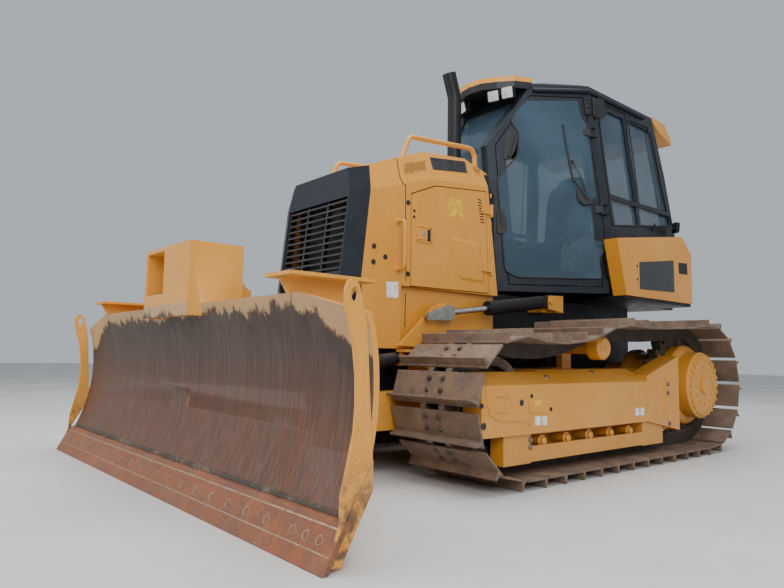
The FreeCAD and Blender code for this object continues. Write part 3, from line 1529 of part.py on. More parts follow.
def push_frame():
    """Push arms with pivot bosses, cross member, swivel nose, risers and cylinder ears."""
    piece = Piece("c_frame")
    arm = outline_of("arm", ARM)
    for low, high in (("arm_in", "arm_out"), ("-arm_out", "-arm_in")):
        piece.pad("YZ", low, high, arm)
        piece.pad("YZ", low, high, ("circle", "push_y", "push_z", "push_boss_radius"))
    piece.pad("XY", "cross_low", "cross_top", block("-arm_out", "arm_out", "cross_front", "cross_rear"))
    for low, high in (("yaw_low", "yaw_low + yaw_plate"), ("yaw_high - yaw_plate", "yaw_high")):
        piece.pad("XY", low, high, [
            ("-nose_half", "cross_rear"), ("nose_half", "cross_rear"), ("nose_half", "cross_front - 60"),
            ("yaw_eye_radius", "yaw_y"), ("-yaw_eye_radius", "yaw_y"), ("-nose_half", "cross_front - 60")])
        piece.pad("XY", low, high, ("circle", "0", "yaw_y", "yaw_eye_radius"))
    piece.pad("XY", "yaw_low", "yaw_high", block("-nose_half", "nose_half", "cross_front - 60", "cross_rear"))
    riser = outline_of("riser", RISER)
    eye_in = "(lift_x - lift_eye_half - side_gap)"
    for side in (1, -1):
        def span(low, high):
            return (low, high) if side == 1 else (f"-({high})", f"-({low})")
        low, high = span(f"{eye_in} - riser_thick", eye_in)
        piece.pad("YZ", low, high, riser)
        piece.pad("YZ", low, high, ("circle", "lift_eye_y", "lift_eye_z", "riser_eye_radius"))
        low, high = span(eye_in, "arm_out")
        piece.pad("YZ", low, high, [("-700", "cross_top"), ("-340", "cross_top"), ("-340", "560"), ("-700", "600")])
        ball_top = "angle_base_z + angle_ball_half + side_gap"
        ball_low = "angle_base_z - angle_ball_half - side_gap"
        ears = ((ball_top, f"{ball_top} + 16"), (f"{ball_low} - 16", ball_low))
        ear_low, ear_high = span("arm_in - 5", "arm_out")
        for bottom, top in ears:
            piece.pad("XY", bottom, top, block(ear_low, ear_high, "angle_base_y - 34", "angle_base_y + 118"))
        piece.pad("XY", "cross_top", f"{ball_top} + 16", block(ear_low, ear_high, "angle_base_y + 60", "angle_base_y + 118"))
    for low, high in (("arm_in", "arm_out"), ("-arm_out", "-arm_in")):
        piece.pocket("YZ", low, high, ("circle", "push_y", "push_z", "push_pin_radius + pin_gap"))
    piece.pocket("XY", "yaw_low", "yaw_high", ("circle", "0", "yaw_y", "yaw_pin_radius + pin_gap"))
    for place in ("angle_base_x", "-angle_base_x"):
        piece.pocket("XY", "angle_base_z - 60", "angle_base_z + 60", ("circle", place, "angle_base_y", "angle_pin_radius + pin_gap"))
    return piece


def lift_flags():
    """Zinc plates outside the lift rods' eyes, bolted to the risers."""
    piece = Piece("lift_flags")
    for side in (1, -1):
        def span(low, high):
            return (low, high) if side == 1 else (f"-({high})", f"-({low})")
        eye_in = "(lift_x - lift_eye_half - side_gap)"
        eye_out = "(lift_x + lift_eye_half + side_gap)"
        low, high = span(eye_out, f"{eye_out} + flag_thick")
        piece.pad("YZ", low, high, ("circle", "lift_eye_y", "lift_eye_z", "lift_eye_radius + 6"))
        piece.pad("YZ", low, high, [
            ("lift_eye_y", "lift_eye_z + 46"), ("lift_eye_y - 175", "lift_eye_z - 8"),
            ("lift_eye_y - 175", "lift_eye_z - 52"), ("lift_eye_y", "lift_eye_z - 46")])
        low, high = span(eye_in, eye_out)
        piece.pad("YZ", low, high, ("circle", "lift_eye_y - 145", "lift_eye_z - 32", "16"))
    return piece


def cylinder(label, radius, start, end, eye_radius, eye_half, bore, head_radius, rod_radius, depth):
    """A barrel along its own -Y: rear eye, tube and a thicker head, bored for pin and rod."""
    piece = Piece(label)
    piece.pad("YZ", f"-{eye_half}", eye_half, ("circle", "0", "0", eye_radius))
    piece.pad("YZ", f"-{eye_half}", eye_half, block(f"-{start} - 5", "0", f"-{eye_radius} * 0.75", f"{eye_radius} * 0.75"))
    piece.turn("Y", ("0", "0", "0"), [
        (f"-{start}", "0"), (f"-{end}", "0"), (f"-{end}", f"{head_radius} - 5"), (f"5 - {end}", head_radius),
        (f"60 - {end}", head_radius), (f"60 - {end}", radius), (f"-{start} - 8", radius), (f"-{start}", f"{radius} - 8")])
    piece.pocket("YZ", f"-{radius}", radius, ("circle", "0", "0", bore))
    rod_bore(piece, end, depth, rod_radius)
    return piece


def rod_bore(piece, end, depth, rod_radius):
    """The bore of a barrel, open at its head."""
    piece.turn("Y", ("0", "0", "0"), [
        (f"-{end} + ({depth})", "0"), (f"-{end} - 1", "0"),
        (f"-{end} - 1", f"{rod_radius} + pin_gap"), (f"-{end} + ({depth})", f"{rod_radius} + pin_gap")], "Groove")


def rod(label, radius, from_place, to_place, eye_radius, eye_half):
    """A rod along its own -Y from inside the barrel to its solid eye."""
    piece = Piece(label)
    piece.turn("Y", ("0", "0", "0"), [
        (f"-({from_place})", "0"), (f"-({to_place})", "0"), (f"-({to_place})", radius), (f"-({from_place})", radius)])
    piece.pad("YZ", f"-{eye_half}", eye_half, ("circle", f"-({to_place})", "0", eye_radius))
    return piece


def lift_cylinders():
    """Barrel on the bracket's pin and rod to the riser's eye."""
    base = vector("lift_x", "lift_base_y", "lift_base_z")
    eye = vector("lift_x", "lift_eye_y", "lift_eye_z")
    across = FreeCAD.Vector(1, 0, 0)
    back = (base - eye).normalize()
    length = f"{(base - eye).Length:.4f}"
    barrel = cylinder("lift_barrel_left", "lift_barrel_radius", "lift_barrel_start", "lift_barrel_end",
                      "lift_barrel_radius", "lift_base_half", "lift_base_pin_radius + pin_gap", "lift_head_radius",
                      "lift_rod_radius", "lift_rod_inside + lift_stroke_back")
    stem = rod("lift_rod_left", "lift_rod_radius", "lift_barrel_end - lift_rod_inside", length, "lift_eye_radius", "lift_eye_half")
    for piece in (barrel, stem):
        piece.place(base, across, back)
        right_hand(piece.label.replace("_left", "_right"), piece)


def angle_cylinders():
    """Ball block in the frame's ears, barrel on its cross pin and rod to the blade's ear."""
    base = vector("angle_base_x", "angle_base_y", "angle_base_z")
    ear = vector("angle_ear_x", "angle_ear_y", "angle_ear_z")
    back = (base - ear).normalize()
    across = FreeCAD.Vector(back.y, -back.x, 0).normalize()
    length = f"{(base - ear).Length:.4f}"
    ball = Piece("angle_ball_left")
    ball.pad("XY", "-angle_ball_half", "angle_ball_half", block("-13", "13", "-24", "24"))
    ball.pad("XY", "-angle_ball_half - 14", "angle_ball_half + 14", ("circle", "0", "0", "angle_pin_radius"))
    ball.pad("YZ", "-30", "30", ("circle", "0", "0", "12"))
    level = FreeCAD.Vector(back.x, back.y, 0).normalize()
    ball.place(base, across, level)
    barrel = Piece("angle_barrel_left")
    for low, high in (("14", "29"), ("-29", "-14")):
        barrel.pad("YZ", low, high, ("circle", "0", "0", "20"))
        barrel.pad("YZ", low, high, block("-angle_barrel_start - 5", "0", "-19", "19"))
    barrel.turn("Y", ("0", "0", "0"), [
        ("-angle_barrel_start", "0"), ("-angle_barrel_end", "0"), ("-angle_barrel_end", "angle_barrel_radius - 3"),
        ("3 - angle_barrel_end", "angle_barrel_radius"), ("-angle_barrel_start - 6", "angle_barrel_radius"),
        ("-angle_barrel_start", "angle_barrel_radius - 6")])
    barrel.pocket("YZ", "-40", "40", ("circle", "0", "0", "12 + pin_gap"))
    rod_bore(barrel, "angle_barrel_end", "angle_rod_inside + angle_stroke_back", "angle_rod_radius")
    barrel.place(base, across, back)
    stem = rod("angle_rod_left", "angle_rod_radius", "angle_barrel_end - angle_rod_inside", length, "angle_eye_radius", "angle_eye_half")
    stem.place(base, across, back)
    for piece in (ball, barrel, stem):
        right_hand(piece.label.replace("_left", "_right"), piece)


def swivel_head():
    """Centre block on the nose's upright pin, with the blade's fore-and-aft pin and the post."""
    piece = Piece("swivel_head")
    plate_gap = "side_gap"
    piece.pad("XY", f"yaw_low + yaw_plate + {plate_gap}", f"yaw_high - yaw_plate - {plate_gap}", [
        ("-head_half", "yaw_y - head_half"), ("head_half", "yaw_y - head_half"),
        ("head_half", "yaw_y + head_half"), ("-head_half", "yaw_y + head_half")])
    piece.pad("XY", "yaw_low", "yaw_high + 12", ("circle", "0", "yaw_y", "yaw_pin_radius"))
    piece.pad("XZ", "tilt_pin_front", "yaw_y", ("circle", "0", "tilt_z", "tilt_pin_radius"))
    piece.pad("YZ", "-post_half", "post_half", [
        ("yaw_y - 40", "yaw_high + 8"), ("post_rear", "yaw_high + 8"), ("post_rear", "post_top - 60"),
        ("post_rear", "post_top"), ("post_front", "post_top"), ("post_front", "yaw_high + 160"), ("yaw_y - 40", "yaw_high + 60")])
    piece.pad("YZ", "-22", "22", [
        ("post_rear", "post_top - 70"), ("post_rear", "post_top"), ("post_front", "link_z + 10"),
        ("link_front", "link_z + 24"), ("link_front", "link_z - 24"), ("post_front", "link_z - 60")])
    piece.pad("XZ", "tilt_y + tilt_eye_half + side_gap", "post_front + 5",
              block("tilt_base_x - 42", "tilt_base_x + 42", "tilt_base_z - 42", "tilt_base_z + 42"))
    piece.pad("XZ", "tilt_y + tilt_barrel_radius + 10", "post_front + 5",
              block("tilt_base_x - 42", "post_half", "tilt_base_z - 42", "tilt_base_z + 42"))
    piece.pad("XZ", "tilt_y - tilt_eye_half - side_gap", "post_front", ("circle", "tilt_base_x", "tilt_base_z", "tilt_small_pin"))
    return piece


def tilt_cylinder():
    """Short cylinder along the blade's back, from the post to the blade's bracket."""
    base = vector("tilt_base_x", "tilt_y", "tilt_base_z")
    end = vector("tilt_end_x", "tilt_y", "tilt_end_z")
    back = (base - end).normalize()
    across = FreeCAD.Vector(0, 1, 0)
    length = f"{(base - end).Length:.4f}"
    barrel = cylinder("tilt_barrel", "tilt_barrel_radius", "tilt_barrel_start", "tilt_barrel_end",
                      "tilt_eye_radius", "tilt_eye_half", "tilt_small_pin + pin_gap", "tilt_head_radius",
                      "tilt_rod_radius", "tilt_rod_inside + tilt_stroke_back")
    stem = rod("tilt_rod", "tilt_rod_radius", "tilt_barrel_end - tilt_rod_inside", length, "tilt_eye_radius", "tilt_eye_half")
    for piece in (barrel, stem):
        piece.place(base, across, back)


def blade():
    """Curved moldboard with end plates, back beams, socket, ears and brackets."""
    piece = Piece("blade")
    half = "blade_half - 5"
    board_low = "edge_y + edge_run + edge_thick"
    board_high = "edge_y + board_top_run"
    piece.pad("YZ", f"5 - blade_half", half, [
        (board_high, "board_top"),
        (board_low, "edge_top"),
        ("edge_y + edge_thick + edge_run * 12 / edge_top", "12"),
        ("edge_y + edge_thick + 34", "12"),
        (f"{board_low} + board_thick", "edge_top"),
        (f"{board_high} + board_thick", "board_top", "board_radius + board_thick"),
        (f"{board_high} + board_thick - 8", "crest_z"),
        (f"{board_high} - 8", "crest_z"),
    ])
    piece.pocket("YZ", "-blade_half", "blade_half", [(board_low, "edge_top"), (board_high, "board_top", "board_radius")])
    back = f"({board_low} + 60)"
    piece.pad("YZ", f"5 - blade_half", half, [
        ("edge_y + edge_thick + 30", "12"), ("edge_y + edge_thick + 60", "12"),
        (f"{back} + 40", "230"), (f"{back} + 40", "330"), (f"{back} + 15", "330"), (f"{board_low} + 12", "160")])
    piece.pad("YZ", f"30 - crest_half", "crest_half - 30", [
        ("edge_y + 200", "700"), ("edge_y + 290", "720"), ("edge_y + 290", "850"), ("edge_y + 160", "880"), ("edge_y + 195", "720")])
    for side in (1, -1):
        def span(low, high):
            return (low, high) if side == 1 else (f"-({high})", f"-({low})")
        low, high = span("blade_half - end_thick", "blade_half")
        piece.pad("YZ", low, high, outline_of("end_plate", END_PLATE))
        for rib in ("450", "780", "1150"):
            low, high = span(f"{rib} - 10", f"{rib} + 10")
            piece.pad("YZ", low, high, [
                ("edge_y + 130", "150"), ("edge_y + 220", "330"), ("edge_y + 290", "400"),
                ("edge_y + 290", "850"), ("edge_y + 190", "870"), ("edge_y + 215", "500")])
        low, high = span("angle_ear_x - 70", "angle_ear_x + 70")
        for bottom, top in (("angle_ear_z + ear_open", "angle_ear_z + ear_open + ear_plate"),
                            ("angle_ear_z - ear_open - ear_plate", "angle_ear_z - ear_open")):
            piece.pad("XY", bottom, top, block(low, high, "edge_y + 205", "angle_ear_y + 45"))
        low, high = span("1010", "1200")
        piece.pad("XY", "960", "975", block(low, high, "-2050", "-1640"))
        low, high = span("1090", "1110")
        piece.pad("YZ", low, high, [("-1935", "700"), ("-1850", "700"), ("-1660", "962"), ("-2040", "962"), ("-1975", "860")])
    piece.pad("XZ", "edge_y + 180", "yaw_y - 85", block("-110", "110", "tilt_z - 85", "tilt_z + 85"))
    for low, high in (("tilt_y - tilt_eye_half - side_gap - 16", "tilt_y - tilt_eye_half - side_gap"),
                      ("tilt_y + tilt_eye_half + side_gap", "tilt_y + tilt_eye_half + side_gap + 16")):
        piece.pad("XZ", low, high, block("tilt_end_x - 40", "tilt_end_x + 95", "tilt_end_z - 42", "tilt_end_z + 42"))
    piece.pad("XZ", "edge_y + 200", "tilt_y + tilt_eye_half + side_gap + 16",
              block("tilt_end_x + 55", "tilt_end_x + 95", "tilt_end_z - 42", "tilt_end_z + 42"))
    piece.pad("XZ", "edge_y + 80", "-1775", block("-280", "300", "840", "1200"))
    piece.pocket("XZ", "edge_y + 110", "-1700", block("-250", "270", "700", "1180"))
    piece.pocket("XZ", "edge_y + 60", "edge_y + 130", block("-250", "-20", "960", "1180"))
    piece.pocket("XZ", "tilt_pin_front - 10", "yaw_y", ("circle", "0", "tilt_z", "tilt_pin_radius + pin_gap"))
    piece.pocket("YZ", "-blade_half - 10", "blade_half + 10", [
        ("edge_y - 50", "-20"), ("edge_y + edge_thick - edge_run * 20 / edge_top", "-20"),
        ("edge_y + edge_run + edge_thick", "edge_top"), ("edge_y - 50", "edge_top")])
    for side in (1, -1):
        inner, outer = (("crest_half", "blade_half + 10") if side == 1 else ("-crest_half", "-blade_half - 10"))
        piece.pocket("XZ", "edge_y - 10", "edge_y + 240", [
            (inner, "crest_z"), (outer, "crest_end_z - 3"), (outer, "crest_z + 60"), (inner, "crest_z + 60")])
    return piece


def cutting_edge():
    """Bolted edge along the blade's foot, in a middle run and two end bits."""
    piece = Piece("cutting_edge")
    joints = ("-blade_half", "cutter_end - blade_half", "0", "blade_half - cutter_end", "blade_half")
    for low, high in zip(joints, joints[1:]):
        piece.pad("YZ", f"{low} + 0.5", f"{high} - 0.5", [
            ("edge_y", "0"), ("edge_y + edge_thick", "0"),
            ("edge_y + edge_run + edge_thick", "edge_top"), ("edge_y + edge_run", "edge_top")])
    return piece


cab()
roof_caps()
cab_inside()
rear_boxes()
lift_brackets()
push_frame()
lift_flags()
lift_cylinders()
angle_cylinders()
swivel_head()
tilt_cylinder()
blade()
cutting_edge()


def finish():
    """Recomputes, checks every object and writes one file for each sub-part."""
    DOC.recompute()
    for thing in DOC.Objects:
        if "Invalid" in thing.State or "Error" in thing.State:
            raise RuntimeError(f"{thing.Name} ({thing.Label}) failed: {thing.State}")
    os.makedirs("parts", exist_ok=True)
    for label, thing in PARTS.items():
        shape = thing.Shape
        if shape.isNull() or not shape.isValid() or not shape.Solids:
            raise RuntimeError(f"{label} has no valid solid")
        shape.exportStep(f"parts/{label}.step")
        print(label, len(shape.Solids), round(shape.Volume / 1e9, 4))


finish()
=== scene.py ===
# %% [markdown]
# A small crawler dozer, finished in cells.
# The steel parts come from a fixed frame of real sizes. This lesson gives each of them its
# paint, rust or glass, and then adds what is too small for the frame: bolts, seals, wipers,
# hinges, vents and the seat. Everything is in metres, +X is the machine's left,
# -Y its front and +Z up.

# %% Load the fixed frame
import json
import math
import random

import bmesh
import bpy
import numpy as np
from mathutils import Matrix, Vector
from mathutils.bvhtree import BVHTree


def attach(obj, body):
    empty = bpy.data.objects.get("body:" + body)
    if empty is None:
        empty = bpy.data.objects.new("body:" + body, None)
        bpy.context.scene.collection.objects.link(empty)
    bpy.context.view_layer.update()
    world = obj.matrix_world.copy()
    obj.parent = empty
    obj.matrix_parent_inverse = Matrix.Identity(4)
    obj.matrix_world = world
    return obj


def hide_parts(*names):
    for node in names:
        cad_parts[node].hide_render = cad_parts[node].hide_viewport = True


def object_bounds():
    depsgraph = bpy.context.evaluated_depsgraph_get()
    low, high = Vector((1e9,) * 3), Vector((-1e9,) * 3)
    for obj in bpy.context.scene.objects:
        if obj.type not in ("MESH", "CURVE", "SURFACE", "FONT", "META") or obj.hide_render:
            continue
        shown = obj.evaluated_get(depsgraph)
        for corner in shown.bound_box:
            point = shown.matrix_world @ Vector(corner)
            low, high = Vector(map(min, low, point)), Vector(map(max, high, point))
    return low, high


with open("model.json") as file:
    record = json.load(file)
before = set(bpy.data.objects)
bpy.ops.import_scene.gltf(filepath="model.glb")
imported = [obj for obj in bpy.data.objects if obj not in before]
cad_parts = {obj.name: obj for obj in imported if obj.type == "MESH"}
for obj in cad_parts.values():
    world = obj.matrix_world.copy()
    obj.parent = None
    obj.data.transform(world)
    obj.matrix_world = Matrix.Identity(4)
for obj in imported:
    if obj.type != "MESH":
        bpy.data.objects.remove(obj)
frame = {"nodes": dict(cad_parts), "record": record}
cad_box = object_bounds()
nodes = frame["nodes"]
body_of = {node: body for body, members in frame["record"]["behaviour"]["bodies"].items() for node in members}

# %% [markdown]
# The camera stands where the photographer stood: low at the machine's left front corner.
# A camera looks along its own -Z, so its matrix holds the right, up and backward directions.

# %% The photographer's camera
SENSOR = 36.0
FOCAL_PIXELS = 640.76
FRAME_WIDTH = 784
CAMERA_PLACE = Vector((3.2142, -3.2753, 0.6711))
YAW, PITCH, ROLL = math.radians(139.564), math.radians(5.392), math.radians(0.980)

forward = Vector((math.cos(PITCH) * math.cos(YAW), math.cos(PITCH) * math.sin(YAW), math.sin(PITCH)))
right = forward.cross(Vector((0, 0, 1))).normalized()
up = right.cross(forward)
rolled_right = right * math.cos(ROLL) + up * math.sin(ROLL)
rolled_up = up * math.cos(ROLL) - right * math.sin(ROLL)
camera = bpy.data.objects.new("photo_camera", bpy.data.cameras.new("photo_camera"))
camera.data.sensor_width = SENSOR
camera.data.lens = FOCAL_PIXELS / FRAME_WIDTH * SENSOR
camera.data.clip_end = 100
camera.matrix_world = Matrix((rolled_right, rolled_up, -forward)).transposed().to_4x4()
camera.matrix_world.translation = CAMERA_PLACE
bpy.context.scene.collection.objects.link(camera)
bpy.context.scene.camera = camera
print("lens", round(camera.data.lens, 2), "mm")

# %% [markdown]
# A studio of one pale floor and large soft lamps: a broad one overhead as the sky, one beside
# the camera for the near side, and a weak one from behind that draws the edges.

# %% Floor and lights
FLOOR_HALF = 30.0


def area_light(name, place, target, size, power):
    """A square lamp that faces a target."""
    light = bpy.data.lights.new(name, "AREA")
    light.size = size
    light.energy = power
    lamp = bpy.data.objects.new(name, light)
    bpy.context.scene.collection.objects.link(lamp)
    lamp.location = place
    lamp.rotation_mode = "QUATERNION"
    lamp.rotation_quaternion = (Vector(target) - Vector(place)).to_track_quat("-Z", "Y")
    return lamp


area_light("sky", (0.5, -1.0, 7.5), (0, 0, 0.5), 7.0, 620)
area_light("camera_side", (6.5, -5.0, 4.2), (0, 0, 1.2), 4.0, 330)
area_light("front_fill", (-3.5, -7.0, 3.2), (0, -1.0, 1.0), 4.0, 150)
area_light("rear_fill", (-6.0, 6.0, 4.0), (0, 0.5, 1.2), 4.0, 170)
world = bpy.data.worlds.new("studio")
world.use_nodes = True
world.node_tree.nodes["Background"].inputs["Color"].default_value = (0.80, 0.86, 0.93, 1)
world.node_tree.nodes["Background"].inputs["Strength"].default_value = 0.62
bpy.context.scene.world = world

# %% [markdown]
# Shader graphs are easier to read as sentences. `Graph` wraps a node tree so that one short
# line adds a node, sets its sockets and joins what feeds them.

# %% A short way to write shader graphs
class Graph:
    """Adds nodes to a tree; every method returns the socket that the next one needs."""

    def __init__(self, tree):
        self.tree = tree

    def add(self, kind, sockets=None, **settings):
        made = self.tree.nodes.new(kind)
        for name, value in settings.items():
            setattr(made, name, value)
        for name, value in (sockets or {}).items():
            if isinstance(value, bpy.types.NodeSocket):
                self.tree.links.new(value, made.inputs[name])
            else:
                made.inputs[name].default_value = value
        return made

    def math(self, operation, first, second=0.0, clamp=False):
        made = self.add("ShaderNodeMath", {0: first, 1: second}, operation=operation, use_clamp=clamp)
        return made.outputs[0]

    def noise(self, vector, scale, detail=4.0, rough=0.55, stretch=(1, 1, 1)):
        if stretch != (1, 1, 1):
            vector = self.add("ShaderNodeMapping", {"Vector": vector, "Scale": stretch}).outputs[0]
        sockets = {"Vector": vector, "Scale": scale, "Detail": detail, "Roughness": rough}
        return self.add("ShaderNodeTexNoise", sockets).outputs["Fac"]

    def range(self, value, low, high, out_low=0.0, out_high=1.0):
        sockets = {"Value": value, "From Min": low, "From Max": high, "To Min": out_low, "To Max": out_high}
        return self.add("ShaderNodeMapRange", sockets, interpolation_type="SMOOTHSTEP").outputs[0]

    def mix(self, share, first, second, blend="MIX"):
        made = self.add("ShaderNodeMix", data_type="RGBA", blend_type=blend)
        for place, value in ((0, share), (6, first), (7, second)):
            if isinstance(value, bpy.types.NodeSocket):
                self.tree.links.new(value, made.inputs[place])
            else:
                made.inputs[place].default_value = value if place == 0 else (*value, 1)[:4]
        return made.outputs[2]

    def group(self, tree, **sockets):
        made = self.tree.nodes.new("ShaderNodeGroup")
        made.node_tree = tree
        for name, value in sockets.items():
            name = name.replace("_", " ")
            if isinstance(value, bpy.types.NodeSocket):
                self.tree.links.new(value, made.inputs[name])
            else:
                made.inputs[name].default_value = value
        return made.outputs


def effect(name, inputs, outputs):
    """An empty node group with named sockets, its graph, and its two ends."""
    tree = bpy.data.node_groups.new(name, "ShaderNodeTree")
    for socket, kind, value in inputs:
        made = tree.interface.new_socket(socket, in_out="INPUT", socket_type=kind)
        if value is not None:
            made.default_value = value
    for socket, kind in outputs:
        tree.interface.new_socket(socket, in_out="OUTPUT", socket_type=kind)
    entry = tree.nodes.new("NodeGroupInput").outputs
    leave = tree.nodes.new("NodeGroupOutput").inputs
    return tree, Graph(tree), entry, leave


FLOAT, COLOUR, VECTOR = "NodeSocketFloat", "NodeSocketColor", "NodeSocketVector"

# %% [markdown]
# Plate steel is never knife sharp. The Bevel node rounds the shading across an edge, and the
# difference between its normal and the true one is a ready mask of where paint wears first.

# %% Effect: rounded edges and their wear
ROUNDED, graph, entry, leave = effect(
    "rounded_edges", [("Radius", FLOAT, 0.004), ("Amount", FLOAT, 0.5), ("Vector", VECTOR, None)],
    [("Normal", VECTOR), ("Wear", FLOAT)])
soft = graph.add("ShaderNodeBevel", {"Radius": entry["Radius"]}, samples=4).outputs[0]
true = graph.add("ShaderNodeNewGeometry").outputs["Normal"]
same = graph.add("ShaderNodeVectorMath", {0: soft, 1: true}, operation="DOT_PRODUCT").outputs["Value"]
edge = graph.range(graph.math("SUBTRACT", 1.0, same), 0.03, 0.22)
patches = graph.range(graph.noise(entry["Vector"], 18.0, 5.0, 0.65), 0.50, 0.62)
wear = graph.math("MULTIPLY", graph.math("MULTIPLY", edge, patches), entry["Amount"], True)
graph.tree.links.new(soft, leave["Normal"])
graph.tree.links.new(wear, leave["Wear"])

# %% [markdown]
# Dust settles on what faces up and is thrown at what is low. One group gives that mask from
# the surface normal, the height above the ground and two sizes of noise.

# %% Effect: dust and thrown dirt
DUSTY, graph, entry, leave = effect(
    "settled_dust", [("Vector", VECTOR, None), ("Level", FLOAT, 0.3), ("Reach", FLOAT, 1.2)], [("Dust", FLOAT)])
facing = graph.add("ShaderNodeSeparateXYZ", {0: graph.add("ShaderNodeNewGeometry").outputs["Normal"]}).outputs[2]
height = graph.add("ShaderNodeSeparateXYZ", {0: entry["Vector"]}).outputs[2]
lying = graph.range(facing, 0.35, 0.95, 0.0, 0.75)
low = graph.range(graph.math("DIVIDE", height, entry["Reach"]), 1.0, 0.1, 0.0, 0.8)
broad = graph.range(graph.noise(entry["Vector"], 5.0, 6.0, 0.6), 0.35, 0.70)
fine = graph.range(graph.noise(entry["Vector"], 60.0, 3.0, 0.7), 0.30, 0.75)
cover = graph.math("MULTIPLY", graph.math("MAXIMUM", lying, low), graph.math("MULTIPLY", broad, fine))
graph.tree.links.new(graph.math("MULTIPLY", cover, graph.math("MULTIPLY", entry["Level"], 2.0), True), leave["Dust"])

# %% [markdown]
# Everything that runs down a plate leaves upright streaks. Noise that is stretched along Z
# gives them, and the blade's streaks use the same group.

# %% Effect: upright streaks
STREAKS, graph, entry, leave = effect(
    "upright_streaks", [("Vector", VECTOR, None), ("Width", FLOAT, 40.0), ("Sharp", FLOAT, 0.1)], [("Streak", FLOAT)])
stretched = graph.noise(entry["Vector"], entry["Width"], 5.0, 0.6, (1.0, 0.35, 0.035))
graph.tree.links.new(
    graph.range(stretched, graph.math("SUBTRACT", 0.5, entry["Sharp"]), graph.math("ADD", 0.5, entry["Sharp"])),
    leave["Streak"])

# %% [markdown]
# Cast and sprayed surfaces have a fine relief. One group gives a height for a Bump node.

# %% Effect: fine relief
RELIEF, graph, entry, leave = effect(
    "fine_relief", [("Vector", VECTOR, None), ("Size", FLOAT, 300.0)], [("Height", FLOAT)])
small = graph.noise(entry["Vector"], entry["Size"], 3.0, 0.6)
large = graph.noise(entry["Vector"], graph.math("DIVIDE", entry["Size"], 9.0), 3.0, 0.5)
graph.tree.links.new(graph.math("ADD", graph.math("MULTIPLY", small, 0.6), graph.math("MULTIPLY", large, 0.4)), leave["Height"])
print("effects:", [tree.name for tree in bpy.data.node_groups])

# %% [markdown]
# A material is a Principled shader fed by those effects. `surface` starts one: it places the
# object coordinates, rounds the edges, adds relief, and hands back the graph for the colours.

# %% Start of every opaque material
def surface(name, bevel=0.004, wear=0.5, relief=300.0, relief_depth=0.0004, **constants):
    """A material with its graph, coordinates, wear mask and shader."""
    material = bpy.data.materials.new(name)
    material.use_nodes = True
    graph = Graph(material.node_tree)
    shader = material.node_tree.nodes["Principled BSDF"]
    place = graph.add("ShaderNodeTexCoord").outputs["Object"]
    edges = graph.group(ROUNDED, Radius=bevel, Amount=wear, Vector=place)
    height = graph.group(RELIEF, Vector=place, Size=relief)["Height"]
    bump = graph.add("ShaderNodeBump", {"Strength": 1.0, "Distance": relief_depth, "Height": height, "Normal": edges["Normal"]})
    graph.tree.links.new(bump.outputs[0], shader.inputs["Normal"])
    for socket, value in constants.items():
        shader.inputs[socket.replace("_", " ")].default_value = value
    return material, graph, shader, place, edges["Wear"]


def feed(graph, shader, **sockets):
    """Joins worked-out values to the shader."""
    for name, value in sockets.items():
        graph.tree.links.new(value, shader.inputs[name.replace("_", " ")])


DUST_COLOUR = (0.30, 0.25, 0.19)
CHIP_COLOUR = (0.10, 0.055, 0.03)

# %% [markdown]
# The machine's paint is a warm ochre yellow, sprayed, slightly faded, dusty where things lie
# on it and chipped to brown primer on its edges.

# %% Material: ochre machine paint
def sprayed_paint(name, colour, faded, rough=0.38, dust=0.22, wear=0.55, streak=0.10, coat=0.25, specular=0.5):
    """Semi-gloss paint with fading, faint runs, dust and chipped edges."""
    material, graph, shader, place, chips = surface(name, wear=wear, relief=420.0, relief_depth=0.00018,
                                                    Coat_Weight=coat, Coat_Roughness=0.25, Specular_IOR_Level=specular)
    fade = graph.range(graph.noise(place, 1.7, 5.0, 0.6), 0.32, 0.72)
    base = graph.mix(graph.math("MULTIPLY", fade, 0.6), colour, faded)
    runs = graph.group(STREAKS, Vector=place, Width=55.0, Sharp=0.16)["Streak"]
    base = graph.mix(graph.math("MULTIPLY", runs, streak), base, tuple(c * 0.62 for c in colour))
    lying = graph.group(DUSTY, Vector=place, Level=dust, Reach=1.3)["Dust"]
    base = graph.mix(lying, base, DUST_COLOUR)
    base = graph.mix(chips, base, CHIP_COLOUR)
    patchy = graph.range(graph.noise(place, 9.0, 4.0), 0.3, 0.7, rough - 0.06, rough + 0.10)
    dull = graph.math("ADD", patchy, graph.math("MULTIPLY", graph.math("MAXIMUM", lying, chips), 0.4), True)
    feed(graph, shader, Base_Color=base, Roughness=dull)
    return material


YELLOW = (0.69, 0.285, 0.022)
YELLOW_FADED = (0.73, 0.340, 0.056)
machine_yellow = sprayed_paint("machine_yellow", YELLOW, YELLOW_FADED)
charcoal_satin = sprayed_paint("charcoal_satin", (0.009, 0.013, 0.020), (0.015, 0.020, 0.030), 0.40, 0.08, 0.20, 0.03, 0.0, 0.30)
frame_black = sprayed_paint("frame_black", (0.006, 0.006, 0.008), (0.011, 0.011, 0.013), 0.44, 0.15, 0.20, 0.05, 0.0, 0.35)
grille_black = sprayed_paint("grille_black", (0.006, 0.006, 0.007), (0.012, 0.012, 0.013), 0.5, 0.10, 0.45, 0.0)

# %% [markdown]
# Track shoes rust between jobs and are scoured bright on the grousers' edges. Soil stays in
# the corners. The chain inside them is oily and dark.

# %% Material: rusty track shoes with a dark chain
SHOE_RUST = (0.200, 0.128, 0.085)
SHOE_DARK = (0.110, 0.082, 0.064)
SOIL = (0.23, 0.175, 0.125)
SCOURED = (0.40, 0.29, 0.21)
TRACK_MIDDLE = 0.862
STRAND_REACH = 0.087


